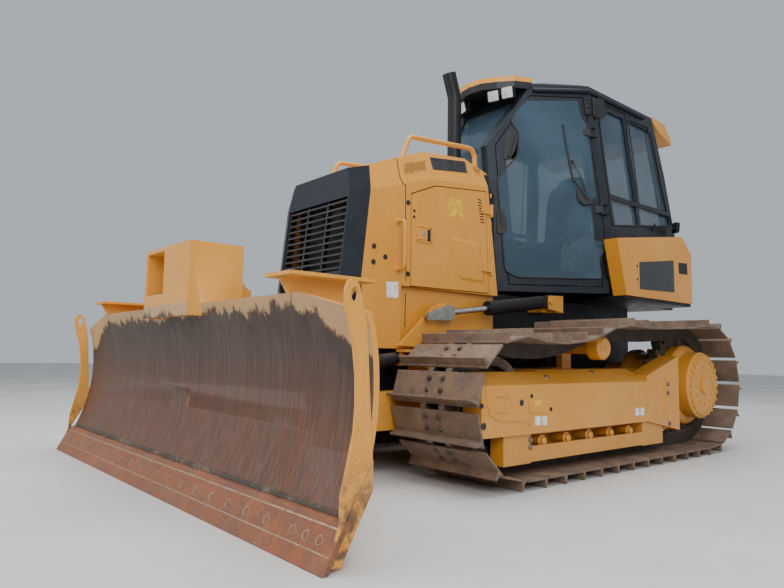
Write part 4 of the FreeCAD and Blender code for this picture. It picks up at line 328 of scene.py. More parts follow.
def rusty_steel(name, rust, dark, scoured, chain=False, soil=0.5, wear=1.0):
    """Rust in two tones, soil in patches and scoured edges; the chain's flanks stay dark."""
    material, graph, shader, place, edges = surface(name, 0.005, wear, 160.0, 0.0012)
    tone = graph.range(graph.noise(place, 11.0, 6.0, 0.65), 0.34, 0.66)
    base = graph.mix(tone, dark, rust)
    speck = graph.range(graph.noise(place, 95.0, 3.0, 0.7), 0.48, 0.70)
    base = graph.mix(graph.math("MULTIPLY", speck, 0.45), base, tuple(c * 1.7 for c in rust))
    dirt = graph.range(graph.noise(place, 7.0, 5.0, 0.7), 0.50, 0.62, 0.0, soil)
    base = graph.mix(dirt, base, SOIL)
    base = graph.mix(edges, base, scoured)
    if chain:
        across = graph.add("ShaderNodeSeparateXYZ", {0: place}).outputs[0]
        middle = graph.math("ABSOLUTE", graph.math("SUBTRACT", graph.math("ABSOLUTE", across), TRACK_MIDDLE))
        sideways = graph.add("ShaderNodeSeparateXYZ", {0: graph.add("ShaderNodeNewGeometry").outputs["True Normal"]}).outputs[0]
        flank = graph.math("MULTIPLY", graph.math("LESS_THAN", middle, STRAND_REACH),
                           graph.math("GREATER_THAN", graph.math("ABSOLUTE", sideways), 0.9))
        base = graph.mix(graph.math("MULTIPLY", flank, 0.85), base, (0.018, 0.014, 0.012))
    shine = graph.math("MULTIPLY", edges, 0.7, True)
    rough = graph.range(tone, 0.0, 1.0, 0.62, 0.88)
    feed(graph, shader, Base_Color=base, Metallic=shine, Roughness=graph.math("SUBTRACT", rough, graph.math("MULTIPLY", edges, 0.3), True))
    return material


track_rust = rusty_steel("track_rust", SHOE_RUST, SHOE_DARK, SCOURED, chain=True)
wheel_steel = rusty_steel("wheel_steel", (0.085, 0.055, 0.036), (0.032, 0.024, 0.019), (0.26, 0.20, 0.15))
edge_rust = rusty_steel("edge_rust", (0.270, 0.095, 0.042), (0.150, 0.060, 0.032), (0.42, 0.27, 0.17), soil=0.15, wear=0.8)

# %% [markdown]
# The blade's front is bare steel polished by soil and rusted again: red brown at the foot,
# grey brown above, with fine upright streaks, a ragged dark band under the top edge, and old
# paint left in the upper corners. Masks of height and of the way the surface faces divide it
# from the yellow paint, so one material serves the whole welded blade.

# %% Material: the blade, rust in front and paint elsewhere
BOARD_LOW, BOARD_TOP = 0.15, 0.90
BOARD_HALF = 1.558
PAINT_LINE = 0.845
CREST_HALF, CREST_DROP = 1.16, 0.226


def blade_finish():
    material, graph, shader, place, edges = surface("blade_finish", 0.004, 0.7, 240.0, 0.0005, Coat_Weight=0.1)
    xyz = graph.add("ShaderNodeSeparateXYZ", {0: place}).outputs
    facing = graph.add("ShaderNodeSeparateXYZ", {0: graph.add("ShaderNodeNewGeometry").outputs["True Normal"]}).outputs[1]
    sideways = graph.math("ABSOLUTE", xyz[0])
    ahead = graph.math("MULTIPLY", graph.math("LESS_THAN", facing, -0.35), graph.math("LESS_THAN", sideways, BOARD_HALF))
    below = graph.math("LESS_THAN", xyz[2], BOARD_TOP + 0.002)
    crest = graph.math("MULTIPLY", graph.math("MAXIMUM", graph.math("SUBTRACT", sideways, CREST_HALF), 0.0), CREST_DROP)
    ragged = graph.noise(place, 13.0, 7.0, 0.75, (1.0, 1.0, 0.45))
    line = graph.math("SUBTRACT", graph.math("ADD", xyz[2], crest), PAINT_LINE)
    corner = graph.range(graph.math("SUBTRACT", sideways, 1.2), 0.0, 0.36, 0.0, 0.16)
    line = graph.math("ADD", line, graph.math("MULTIPLY", corner, graph.range(xyz[2], 0.45, 0.85)))
    kept = graph.range(graph.math("ADD", line, graph.math("MULTIPLY", graph.math("SUBTRACT", ragged, 0.5), 0.26)), -0.012, 0.02)
    bare = graph.math("MULTIPLY", graph.math("MULTIPLY", ahead, below), graph.math("SUBTRACT", 1.0, kept))
    fine = graph.group(STREAKS, Vector=place, Width=85.0, Sharp=0.13)["Streak"]
    broad = graph.group(STREAKS, Vector=place, Width=16.0, Sharp=0.20)["Streak"]
    foot = graph.range(xyz[2], 0.30, 0.74)
    rust = graph.mix(foot, (0.150, 0.052, 0.024), (0.062, 0.034, 0.022))
    rust = graph.mix(graph.math("MULTIPLY", broad, 0.60), rust, (0.092, 0.060, 0.043))
    rust = graph.mix(graph.math("MULTIPLY", fine, 0.42), rust, (0.046, 0.023, 0.015))
    smear = graph.math("MULTIPLY", graph.range(line, -0.20, -0.03), graph.range(ragged, 0.40, 0.60))
    rust = graph.mix(graph.math("MULTIPLY", smear, 0.75), rust, (0.036, 0.018, 0.012))
    fade = graph.range(graph.noise(place, 1.7, 5.0, 0.6), 0.32, 0.72)
    paint = graph.mix(fade, YELLOW, YELLOW_FADED)
    old = graph.math("MULTIPLY", graph.math("MULTIPLY", ahead, below), 0.75)
    paint = graph.mix(old, paint, (0.40, 0.275, 0.150))
    lying = graph.group(DUSTY, Vector=place, Level=0.3, Reach=0.7)["Dust"]
    paint = graph.mix(graph.math("MAXIMUM", lying, 0.0), paint, DUST_COLOUR)
    paint = graph.mix(edges, paint, (0.16, 0.07, 0.035))
    outer = graph.math("GREATER_THAN", sideways, BOARD_HALF)
    spots = graph.range(graph.noise(place, 70.0, 3.0, 0.6), 0.66, 0.72)
    # The end plates get darker towards the bottom, in noisy patches.
    lower_darkening = graph.math("MULTIPLY", graph.range(xyz[2], 0.42, 0.10), graph.range(graph.noise(place, 16.0, 6.0, 0.7), 0.42, 0.60))
    marks = graph.math("MULTIPLY", outer, graph.math("MAXIMUM", graph.math("MULTIPLY", spots, 0.8), lower_darkening), True)
    paint = graph.mix(marks, paint, (0.11, 0.052, 0.028))
    colour = graph.mix(bare, paint, rust)
    rough = graph.range(bare, 0.0, 1.0, 0.44, 0.58)
    rough = graph.math("ADD", rough, graph.math("MULTIPLY", fine, 0.10))
    feed(graph, shader, Base_Color=colour, Metallic=graph.math("MULTIPLY", bare, 0.12), Roughness=rough)
    return material


blade_rust = blade_finish()

# %% [markdown]
# Rods are hard chrome, the small lock plates are zinc plated, and seals are rubber.
# Glass stays a plain, thin, slightly blue Principled glass.

# %% Materials: chrome, zinc, rubber, plastic, cloth and glass
def plated(name, colour, rough, spread, size):
    material, graph, shader, place, edges = surface(name, 0.002, 0.4, size, 0.0001, Metallic=1.0)
    patch = graph.noise(place, 26.0, 4.0, 0.6)
    base = graph.mix(graph.range(patch, 0.35, 0.7), colour, tuple(c * 0.72 for c in colour))
    feed(graph, shader, Base_Color=base, Roughness=graph.range(patch, 0.3, 0.7, rough, rough + spread))
    return material


def moulded(name, colour, rough, size=900.0, depth=0.00015, dust=0.15):
    material, graph, shader, place, edges = surface(name, 0.002, 0.2, size, depth)
    lying = graph.group(DUSTY, Vector=place, Level=dust, Reach=1.0)["Dust"]
    tone = graph.range(graph.noise(place, 20.0, 3.0), 0.35, 0.65)
    base = graph.mix(tone, colour, tuple(c * 1.5 + 0.003 for c in colour))
    base = graph.mix(graph.math("MAXIMUM", lying, graph.math("MULTIPLY", edges, 0.5)), base, DUST_COLOUR)
    feed(graph, shader, Base_Color=base, Roughness=graph.range(tone, 0.0, 1.0, rough - 0.05, rough + 0.08))
    return material


def woven(name, colour):
    """Seat cloth: two crossed wave textures make the weave, with a soft sheen."""
    material, graph, shader, place, edges = surface(name, 0.002, 0.0, 700.0, 0.0001, Sheen_Weight=0.35, Sheen_Roughness=0.4)
    threads = [graph.add("ShaderNodeTexWave", {"Vector": place, "Scale": 190.0, "Distortion": 0.4}, bands_direction=way).outputs["Fac"]
               for way in ("X", "Z")]
    weave = graph.math("MULTIPLY", threads[0], threads[1])
    feed(graph, shader, Base_Color=graph.mix(weave, colour, tuple(c * 2.2 for c in colour)),
         Roughness=graph.range(weave, 0.0, 1.0, 0.85, 0.95))
    return material


def clear_glass(name, tint, alpha):
    """Thin pane glass: mostly see-through, with a clean reflection."""
    material = bpy.data.materials.new(name)
    material.use_nodes = True
    graph, shader = Graph(material.node_tree), material.node_tree.nodes["Principled BSDF"]
    place = graph.add("ShaderNodeTexCoord").outputs["Object"]
    shader.inputs["IOR"].default_value = 1.5
    film = graph.range(graph.noise(place, 3.0, 5.0), 0.35, 0.7)
    feed(graph, shader, Base_Color=graph.mix(film, tint, tuple(c * 1.25 for c in tint)),
         Roughness=graph.range(film, 0.0, 1.0, 0.02, 0.09), Alpha=graph.range(film, 0.0, 1.0, alpha, alpha + 0.07))
    return material


chrome_rod = plated("chrome_rod", (0.78, 0.79, 0.80), 0.07, 0.08, 900.0)
zinc_plate = plated("zinc_plate", (0.50, 0.49, 0.45), 0.30, 0.22, 500.0)
bare_bolt = plated("bare_bolt", (0.33, 0.29, 0.25), 0.42, 0.25, 500.0)
rubber = moulded("rubber", (0.010, 0.010, 0.011), 0.62)
cabin_plastic = moulded("cabin_plastic", (0.050, 0.051, 0.055), 0.55)
cabin_grey = moulded("cabin_grey", (0.20, 0.205, 0.21), 0.60)
engine_grey = moulded("engine_grey", (0.12, 0.12, 0.12), 0.65, 300.0, 0.0006)
blank_plate = moulded("blank_plate", (0.018, 0.018, 0.020), 0.32, 900.0, 0.00003, 0.08)
pale_label = moulded("pale_label", (0.62, 0.62, 0.58), 0.45, 900.0, 0.00002, 0.08)
amber_label = moulded("amber_label", (0.62, 0.33, 0.02), 0.42, 900.0, 0.00002, 0.0)
worn_line = plated("worn_line", (0.46, 0.31, 0.21), 0.42, 0.2, 500.0)
lamp_lens = moulded("lamp_lens", (0.52, 0.54, 0.52), 0.12, 60.0, 0.0015, 0.05)
seat_cloth = woven("seat_cloth", (0.020, 0.021, 0.024))
tinted_glass = clear_glass("tinted_glass", (0.060, 0.105, 0.145), 0.42)

# %% [markdown]
# Each node of the frame now gets its finish. Only the material slot changes: the mesh and
# its place stay as the frame gives them.

# %% Finishes of the frame's own nodes
def brow_paint_and_shade():
    """The visor is yellow on top and on its rim; its pressed hollow below and its down-turned faces are near black,
    which is painted shade.
    """
    material, graph, shader, place, edges = surface("brow_paint_and_shade")
    height = graph.add("ShaderNodeSeparateXYZ", {0: place}).outputs[2]
    sideways = graph.add("ShaderNodeSeparateXYZ", {0: graph.add("ShaderNodeNewGeometry").outputs["True Normal"]}).outputs
    below = graph.math("MAXIMUM", graph.math("LESS_THAN", height, 2.708), graph.math("LESS_THAN", sideways[2], -0.3))
    side = graph.math("GREATER_THAN", graph.math("ABSOLUTE", sideways[0]), 0.93)
    hollow = graph.math("MULTIPLY", below, graph.math("SUBTRACT", 1.0, side))
    fade = graph.range(graph.noise(place, 1.7, 5.0, 0.6), 0.32, 0.72)
    # Painted shade: the hollow under the visor and the faces turned down take near black instead of the yellow.
    base = graph.mix(hollow, graph.mix(fade, YELLOW, YELLOW_FADED), (0.010, 0.010, 0.012))
    feed(graph, shader, Base_Color=base, Roughness=graph.range(fade, 0.0, 1.0, 0.36, 0.46))
    return material


visor_paint_and_shade = brow_paint_and_shade()

LEFT_RIGHT = ("left", "right")
FINISHES = {
    "visor": (visor_paint_and_shade, ["roof_brow"], []),
    "machine_yellow": (machine_yellow, ["hood_shell", "roof_rear_cap", "fuel_tank", "c_frame",
                                        "swivel_head", "lift_brackets", "hood_handrails"],
                       ["engine_door", "rear_box", "angle_ball", "track_frame", "carrier_roller", "final_drive", "track_rollers"]),
    "charcoal": (charcoal_satin, ["front_cap", "cab_frame", "cab_roof", "hood_cowl"], ["cab_door"]),
    "black": (frame_black, ["main_frame", "drawbar", "exhaust_stack", "tilt_barrel", "roof_lamps"], ["lift_barrel", "angle_barrel"]),
    "grille": (grille_black, ["grille", "radiator"], []),
    "engine": (engine_grey, ["engine_block"], []),
    "shoes": (track_rust, [], ["track"]),
    "wheels": (wheel_steel, [], ["sprocket", "idler"]),
    "edge": (edge_rust, ["cutting_edge"], []),
    "blade": (blade_rust, ["blade"], []),
    "zinc": (zinc_plate, ["lift_flags"], []),
    "chrome": (chrome_rod, ["tilt_rod"], ["lift_rod", "angle_rod"]),
    "glass": (tinted_glass, ["cab_windows"], ["cab_door_glass"]),
    "cloth": (seat_cloth, ["operator_seat"], []),
    "plastic": (cabin_plastic, ["control_consoles"], []),
}


def paint(piece, material):
    piece.data.materials.clear()
    piece.data.materials.append(material)


painted = set()
for material, single, paired in FINISHES.values():
    for name in single + [f"{stem}_{side}" for stem in paired for side in LEFT_RIGHT]:
        paint(nodes[name], material)
        painted.add(name)
print("nodes with no finish:", sorted(set(nodes) - painted))

# %% [markdown]
# Small pieces are placed where the photograph shows them. A ray from the camera through a
# pixel meets the steel at a point and gives its normal, so each piece sits on what carries
# it, and its mirror image sits on the machine's other side.

# %% Finding places on the steel
PHOTO_MIDDLE = (392, 294)
MIRROR = Matrix.Scale(-1, 4, (1, 0, 0))
SIDES = (("left", Matrix.Identity(4)), ("right", MIRROR))
search_trees = {}


def hit(names, origin, way):
    """The nearest place where a ray meets the named nodes, and the normal there."""
    best = None
    for name in names:
        if name not in search_trees:
            steel = nodes[name]
            corners = [steel.matrix_world @ vertex.co for vertex in steel.data.vertices]
            search_trees[name] = BVHTree.FromPolygons(corners, [tuple(face.vertices) for face in steel.data.polygons])
        place, normal, index, distance = search_trees[name].ray_cast(Vector(origin), Vector(way))
        if place is not None and (best is None or distance < best[2]):
            best = (place, normal if normal.dot(Vector(way)) < 0 else -normal, distance)
    if best is None:
        raise ValueError(f"nothing of {names} there")
    return best[0], best[1]


def sight(u, v):
    """The direction from the camera through a pixel of the photograph."""
    across, above = u - PHOTO_MIDDLE[0], PHOTO_MIDDLE[1] - v
    return (forward * FOCAL_PIXELS + rolled_right * across + rolled_up * above).normalized()


def seen(u, v, *names):
    return hit(names, CAMERA_PLACE, sight(u, v))


def at_plane(u, v, x=None, y=None, z=None):
    """The point of a pixel's ray on a plane of constant x, y or z."""
    way = sight(u, v)
    axis, value = next((i, value) for i, value in enumerate((x, y, z)) if value is not None)
    return CAMERA_PLACE + way * ((value - CAMERA_PLACE[axis]) / way[axis])


def facing(place, normal, turn=0.0):
    """A matrix whose Z leaves the surface and whose Y is as upright as can be."""
    normal = Vector(normal).normalized()
    side = Vector((0, 0, 1)).cross(normal)
    side = side.normalized() if side.length > 1e-3 else Vector((1, 0, 0))
    matrix = Matrix((side, normal.cross(side), normal)).transposed().to_4x4()
    matrix.translation = Vector(place)
    return matrix @ Matrix.Rotation(turn, 4, "Z")


# %% [markdown]
# Bolts, plates and hoses need only three forms: a turned one, a flat one with broken edges,
# and a tube along a path. `Work` gathers any number of them in one mesh.

# %% The three forms
def inset(outline, amount):
    """Moves the corners of a closed outline inwards by the same distance from each side."""
    points = [Vector(p) for p in outline]
    area = sum(a.x * b.y - b.x * a.y for a, b in zip(points, points[1:] + points[:1]))
    turn = 1 if area > 0 else -1
    moved = []
    for i, here in enumerate(points):
        before = (here - points[i - 1]).normalized()
        after = (points[(i + 1) % len(points)] - here).normalized()
        first, second = Vector((-before.y, before.x)) * turn, Vector((-after.y, after.x)) * turn
        middle = (first + second).normalized()
        moved.append(here + middle * (amount / max(middle.dot(first), 0.35)))
    return moved


def rounded(points, radius, steps=5, closed=False):
    """Rounds the corners of a path."""
    points = [Vector(p) for p in points]
    count = len(points)
    made = []
    for i, corner in enumerate(points):
        if not closed and i in (0, count - 1):
            made.append(corner)
            continue
        before, after = points[i - 1] - corner, points[(i + 1) % count] - corner
        reach = min(radius, before.length * 0.49, after.length * 0.49)
        start, end = corner + before.normalized() * reach, corner + after.normalized() * reach
        for step in range(steps + 1):
            t = step / steps
            made.append(start * (1 - t) ** 2 + corner * 2 * t * (1 - t) + end * t * t)
    return made


class Work:
    """One piece in the making."""

    def __init__(self):
        self.mesh = bmesh.new()

    def rings(self, rings, closed=False):
        made = [[self.mesh.verts.new(point) for point in ring] for ring in rings]
        pairs = list(zip(made, made[1:])) + ([(made[-1], made[0])] if closed else [])
        for low, high in pairs:
            for i in range(len(low)):
                j = (i + 1) % len(low)
                self.mesh.faces.new((low[i], low[j], high[j], high[i]))
        if not closed:
            self.mesh.faces.new(made[0][::-1])
            self.mesh.faces.new(made[-1])

    def turned(self, matrix, profile, sides=16, squash=1.0):
        """A lathe form from (radius, height) pairs, starting at the surface."""
        circle = [2 * math.pi * i / sides for i in range(sides)]
        self.rings([[matrix @ Vector((r * math.cos(a), r * squash * math.sin(a), h)) for a in circle] for r, h in profile])

    def bolt(self, matrix, size, height=None):
        """A washer, a hexagon head with broken corners."""
        height = height or size * 0.8
        self.turned(matrix, [(size * 1.25, -0.001), (size * 1.25, height * 0.25), (size * 1.15, height * 0.3)], 14)
        self.turned(matrix, [(size, height * 0.2), (size, height * 0.9), (size * 0.82, height)], 6)

    def slab(self, matrix, outline, low, high, chamfer=0.0, drop=None):
        """A plate with its outer edge broken."""
        drop = chamfer if drop is None else drop
        outline = [Vector(p) for p in outline]
        top = inset(outline, chamfer) if chamfer else outline
        levels = [(outline, low), (outline, high - drop), (top, high)] if chamfer else [(outline, low), (outline, high)]
        self.rings([[matrix @ Vector((p.x, p.y, level)) for p in ring] for ring, level in levels])

    def tube(self, points, radius, sides=10, closed=False):
        """A round bar along a path, its frame carried along without twist."""
        points = [Vector(p) for p in points]
        count = len(points)
        rings, normal = [], None
        for i, point in enumerate(points):
            ahead = points[(i + 1) % count] if closed or i < count - 1 else point
            behind = points[i - 1] if closed or i > 0 else point
            way = (ahead - behind).normalized()
            if normal is None:
                normal = way.orthogonal()
            normal = (normal - way * normal.dot(way)).normalized()
            other = way.cross(normal)
            rings.append([point + (normal * math.cos(a) + other * math.sin(a)) * radius
                          for a in (2 * math.pi * j / sides for j in range(sides))])
        self.rings(rings, closed)

    def mirrored(self, matrix):
        self.mesh.transform(matrix)
        return self


piece_count = 0


def finish(work, name, body, material, smooth=35):
    """Turns the gathered forms into a painted piece that rides on a body."""
    global piece_count
    bmesh.ops.recalc_face_normals(work.mesh, faces=work.mesh.faces)
    mesh = bpy.data.meshes.new(name)
    work.mesh.to_mesh(mesh)
    work.mesh.free()
    mesh.polygons.foreach_set("use_smooth", [True] * len(mesh.polygons))
    mesh.set_sharp_from_angle(angle=math.radians(smooth))
    piece = bpy.data.objects.new(name, mesh)
    bpy.context.scene.collection.objects.link(piece)
    paint(piece, material)
    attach(piece, body)
    piece_count += 1
    return piece


def both_sides(make, name, body, material, smooth=35):
    """Makes a piece for the left side and its mirror image for the right."""
    for side, matrix in SIDES:
        work = Work()
        make(work)
        work.mirrored(matrix)
        finish(work, f"{name}_{side}", body.format(side=side), material, smooth)


def plate_by_pixels(work, pixels, names, low=-0.001, high=0.003, chamfer=0.001):
    """A plate whose corners are pixels of the photograph, lying on the steel."""
    middle = Vector(map(sum, zip(*pixels))) / len(pixels)
    place, normal = seen(*middle, *names)
    matrix = facing(place, normal)
    back = matrix.inverted()
    flat = []
    for u, v in pixels:
        way = sight(u, v)
        point = CAMERA_PLACE + way * ((place - CAMERA_PLACE).dot(normal) / way.dot(normal))
        flat.append((back @ point).to_2d())
    work.slab(matrix, flat, low, high, chamfer)
    return matrix, flat


def inside(point, outline):
    """Whether a flat point lies within a closed outline."""
    crossings = 0
    for a, b in zip(outline, outline[1:] + outline[:1]):
        if (a.y > point.y) != (b.y > point.y) and point.x < a.x + (point.y - a.y) * (b.x - a.x) / (b.y - a.y):
            crossings += 1
    return crossings % 2 == 1


def traced(pixels, names, steps=8, lift=0.0005):
    """A path on the steel under a line of the photograph."""
    path = []
    for (u0, v0), (u1, v1) in zip(pixels, pixels[1:]):
        for step in range(steps):
            t = step / steps
            place, normal = seen(u0 + (u1 - u0) * t, v0 + (v1 - v0) * t, *names)
            path.append(place + normal * lift)
    place, normal = seen(*pixels[-1], *names)
    path.append(place + normal * lift)
    return path


print("board is met at", [round(v, 3) for v in hit(["blade"], (0.5, -3.2, 0.50), (0, 1, 0))[0]])

# %% [markdown]
# The blade's end plates are thin steel with a lifting ear above the corner. The frame's plates
# are thicker, so the blade is copied, cut just inside them, and its own section is drawn out
# to the thin plates. Their outline is read in the photograph, on the plane of the outer face.

# %% Blade drawn out to thin end plates
PLATE_THICK = 0.016
BLADE_HALF = 1.575
CUT = 1.500

BOARD_RADIUS, BOARD_LOW, BOARD_HIGH = 0.926, (-2.032, 0.150), (-1.983, 0.850)


def board_front(z):
    """The y of the board's hollow front at a height."""
    low, high = Vector(BOARD_LOW), Vector(BOARD_HIGH)
    chord = high - low
    away = math.sqrt(BOARD_RADIUS ** 2 - chord.length_squared / 4)
    middle = (low + high) / 2 - Vector((chord.y, -chord.x)).normalized() * away
    return middle.x + math.sqrt(BOARD_RADIUS ** 2 - (z - middle.y) ** 2)


work = bmesh.new()
work.from_mesh(nodes["blade"].data)
bmesh.ops.remove_doubles(work, verts=work.verts, dist=0.00005)
for sign in (1, -1):
    parts = work.verts[:] + work.edges[:] + work.faces[:]
    bmesh.ops.bisect_plane(work, geom=parts, plane_co=(sign * CUT, 0, 0), plane_no=(sign, 0, 0), clear_outer=True)
    rim = [edge for edge in work.edges if edge.is_boundary and all(abs(v.co.x - sign * CUT) < 1e-5 for v in edge.verts)]
    drawn = bmesh.ops.extrude_edge_only(work, edges=rim)["geom"]
    for vertex in [part for part in drawn if isinstance(part, bmesh.types.BMVert)]:
        vertex.co.x = sign * (BLADE_HALF - PLATE_THICK)
        if vertex.co.z > 0.78:
            vertex.co.z -= 0.013
    bmesh.ops.holes_fill(work, edges=[edge for edge in work.edges if edge.is_boundary])
for vertex in work.verts:
    if abs(vertex.co.x) < 0.112 and 0.30 < vertex.co.z < 0.50 and abs(vertex.co.y + 1.955) < 0.002:
        vertex.co.y = board_front(vertex.co.z)
bmesh.ops.recalc_face_normals(work, faces=work.faces)
blade_mesh = bpy.data.meshes.new("welded_blade")
work.to_mesh(blade_mesh)
work.free()
blade_mesh.polygons.foreach_set("use_smooth", [True] * len(blade_mesh.polygons))
blade_mesh.set_sharp_from_angle(angle=math.radians(24))
welded_blade = bpy.data.objects.new("welded_blade", blade_mesh)
bpy.context.scene.collection.objects.link(welded_blade)
paint(welded_blade, blade_rust)
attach(welded_blade, "blade")
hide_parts("blade")
print("blade drawn out from", CUT, "to", BLADE_HALF - PLATE_THICK)

# %% The board's middle, behind the tower's foot
def board_middle(work):
    heights = [0.695 + (0.850 - 0.695) * i / 8 for i in range(9)]
    rows = [(board_front(z), z) for z in heights] + [(-1.991, 0.900)]
    line = rows + [(y + 0.012, z) for y, z in reversed(rows)]
    ends = [[work.mesh.verts.new((x, y, z)) for y, z in line] for x in (-0.2505, 0.2705)]
    for i in range(len(line)):
        work.mesh.faces.new((ends[0][i - 1], ends[0][i], ends[1][i], ends[1][i - 1]))
    for ring in ends:
        work.mesh.faces.new(ring)


middle_sheet = Work()
board_middle(middle_sheet)
finish(middle_sheet, "board_middle", "blade", blade_rust, 24)
print("board front at 0.5 m is", round(board_front(0.5), 4))

# %% End plates with their lifting ears
END_CROP = (300, 250, 4.75)
END_LINE = ((255, 135), (274, 145), (287, 175), (300, 232), (318, 330), (325, 450), (330, 600), (340, 850), (346, 985), (330, 1035),
            (215, 1290), (172, 1400), (196, 1310), (200, 1180), (236, 1000), (262, 870), (272, 740), (272, 600), (260, 450), (243, 370),
            (228, 290), (219, 240), (222, 180), (235, 145))
EAR_HOLE = (263, 210)
EAR_HOLE_WIDE, EAR_HOLE_TALL = 0.016, 0.024


def end_point(x, y):
    return at_plane(END_CROP[0] + x / END_CROP[2], END_CROP[1] + y / END_CROP[2], x=BLADE_HALF)


def end_plate(work):
    outline = [end_point(x, y).yz for x, y in END_LINE]
    middle = end_point(*EAR_HOLE).yz
    hole = [middle + Vector((EAR_HOLE_WIDE * math.cos(a), EAR_HOLE_TALL * math.sin(a))) for a in (2 * math.pi * i / 20 for i in range(20))]
    layers = []
    for x in (BLADE_HALF - PLATE_THICK, BLADE_HALF):
        loops = [[work.mesh.verts.new((x, p.x, max(p.y, 0.014))) for p in ring] for ring in (outline, hole)]
        edges = [work.mesh.edges.new((ring[i - 1], ring[i])) for ring in loops for i in range(len(ring))]
        bmesh.ops.triangle_fill(work.mesh, use_beauty=True, use_dissolve=False, edges=edges)
        layers.append(loops)
    for low, high in zip(*layers):
        for i in range(len(low)):
            work.mesh.faces.new((low[i - 1], low[i], high[i], high[i - 1]))


both_sides(end_plate, "end_plate", "blade", blade_rust, 20)
print("end plate outline", [[round(v, 3) for v in end_point(x, y).yz] for x, y in END_LINE])

# %% [markdown]
# The cutting edge is bolted on from behind with countersunk plough bolts. Each shows as a
# ring in the steel: the bolt's own round head, ground flush, with a narrow gap round it.

# %% Plough bolts and ledges of the cutting edge
EDGE_BOLTS = [0.105 + 0.150 * i for i in range(8)] + [1.330, 1.410, 1.490]
EDGE_BOLT_HEIGHT = 0.085
EDGE_JOINTS = (0.0, 1.245)

rings, heads, joints = Work(), Work(), Work()
for x in [sign * x for x in EDGE_BOLTS for sign in (1, -1)]:
    place, normal = hit(["cutting_edge"], (x, -3.2, EDGE_BOLT_HEIGHT), (0, 1, 0))
    matrix = facing(place, normal)
    rings.turned(matrix, [(0.017, -0.001), (0.017, 0.0008), (0.015, 0.0010), (0.0135, 0.0004)], 20)
    heads.turned(matrix, [(0.0132, -0.001), (0.0132, 0.0009), (0.011, 0.0013)], 20)
finish(rings, "plough_bolt_rings", "blade", worn_line, 60)
finish(heads, "plough_bolt_heads", "blade", edge_rust, 60)
for height, depth, lift in ((0.128, 0.004, 0.0012), (0.052, 0.003, 0.0008)):
    for left, right in ((-1.568, -1.249), (-1.241, -0.004), (0.004, 1.241), (1.249, 1.568)):
        place, normal = hit(["cutting_edge"], ((left + right) / 2, -3.2, height), (0, 1, 0))
        matrix = facing(place, normal)
        reach = (right - left) / 2
        joints.slab(matrix, [(-reach, -depth), (reach, -depth), (reach, depth), (-reach, depth)], -0.001, lift, 0.001)
finish(joints, "edge_scour_lines", "blade", worn_line)
ledge = Work()
for sign in (1, -1):
    place, normal = hit(["blade"], (sign * 0.5, -3.2, 0.162), (0, 1, 0))
    matrix = facing((sign * 0.78, place.y, 0.157), normal)
    ledge.slab(matrix, [(-0.775, -0.011), (0.775, -0.011), (0.775, 0.011), (-0.775, 0.011)], -0.004, 0.006, 0.003)
finish(ledge, "edge_ledge", "blade", wheel_steel)
print(len(EDGE_BOLTS) * 2, "plough bolts")

# %% [markdown]
# The hood's side carries rubber plugs, two screws, perforated vents, a blank badge plate, and
# on the engine door a pressed panel, a paddle latch with a round lock and a blank label.

# %% Plugs, seams, vents and plates of the hood
HOOD = ("hood_shell", "engine_door_left", "front_cap", "hood_cowl")
PLUGS = ((408.2, 202.6), (373.9, 246.0), (385.2, 256.8), (373.3, 261.8), (407.8, 273.9))
SEAM = ((396.6, 158.6), (399.5, 176.0), (402.8, 183.6), (405.6, 184.8), (405.8, 281.0), (404.6, 327.0))
VENTS = (((403.6, 163.0), (426.0, 160.2), (426.0, 170.2), (403.8, 175.2)),
         ((471.8, 165.8), (480.0, 169.2), (480.8, 175.8), (474.2, 173.4)))
BADGE = ((429.4, 157.2), (464.6, 161.6), (467.2, 173.0), (433.0, 169.4))
LOUVER = ((477.3, 198.7), (481.4, 199.0), (483.8, 223.9), (481.2, 223.6))


def plugs(work):
    for pixel in PLUGS:
        work.turned(facing(*seen(*pixel, *HOOD)), [(0.015, -0.001), (0.0155, 0.003), (0.012, 0.005), (0.007, 0.0035)], 18)


def seam(work):
    work.tube(traced(SEAM, HOOD), 0.0026, 6)


def vent_holes(work):
    for pixels in VENTS:
        sample = Work()
        matrix, outline = plate_by_pixels(sample, pixels, HOOD)
        sample.mesh.free()
        xs, ys = [p.x for p in outline], [p.y for p in outline]
        pitch = 0.0125
        for row in range(-12, 13):
            for column in range(-12, 13):
                point = Vector((column * pitch + (row % 2) * pitch / 2, row * pitch * 0.87))
                if min(xs) < point.x < max(xs) and min(ys) < point.y < max(ys) and inside(point, inset(outline, 0.006)):
                    work.turned(matrix @ Matrix.Translation((point.x, point.y, 0)), [(0.0046, -0.001), (0.0046, 0.0006)], 6)


def vent_frames(work):
    for pixels in VENTS:
        sample = Work()
        matrix, outline = plate_by_pixels(sample, pixels, HOOD)
        sample.mesh.free()
        work.tube([matrix @ Vector((p.x, p.y, 0.0)) for p in rounded(outline, 0.012, 4, True)], 0.0022, 6, True)


def louver(work):
    sample = Work()
    matrix, outline = plate_by_pixels(sample, LOUVER, HOOD)
    sample.mesh.free()
    low, high = min(p.y for p in outline), max(p.y for p in outline)
    wide = 0.020
    for i in range(9):
        y = low + (high - low) * (i + 0.5) / 9
        x = (outline[0].x + outline[1].x) / 2 * (y - low) / (high - low) + (outline[2].x + outline[3].x) / 2 * (high - y) / (high - low)
        work.slab(matrix, [(x - wide, y - 0.0035), (x + wide, y - 0.0035), (x + wide, y + 0.0035), (x - wide, y + 0.0035)], -0.001, 0.0008)


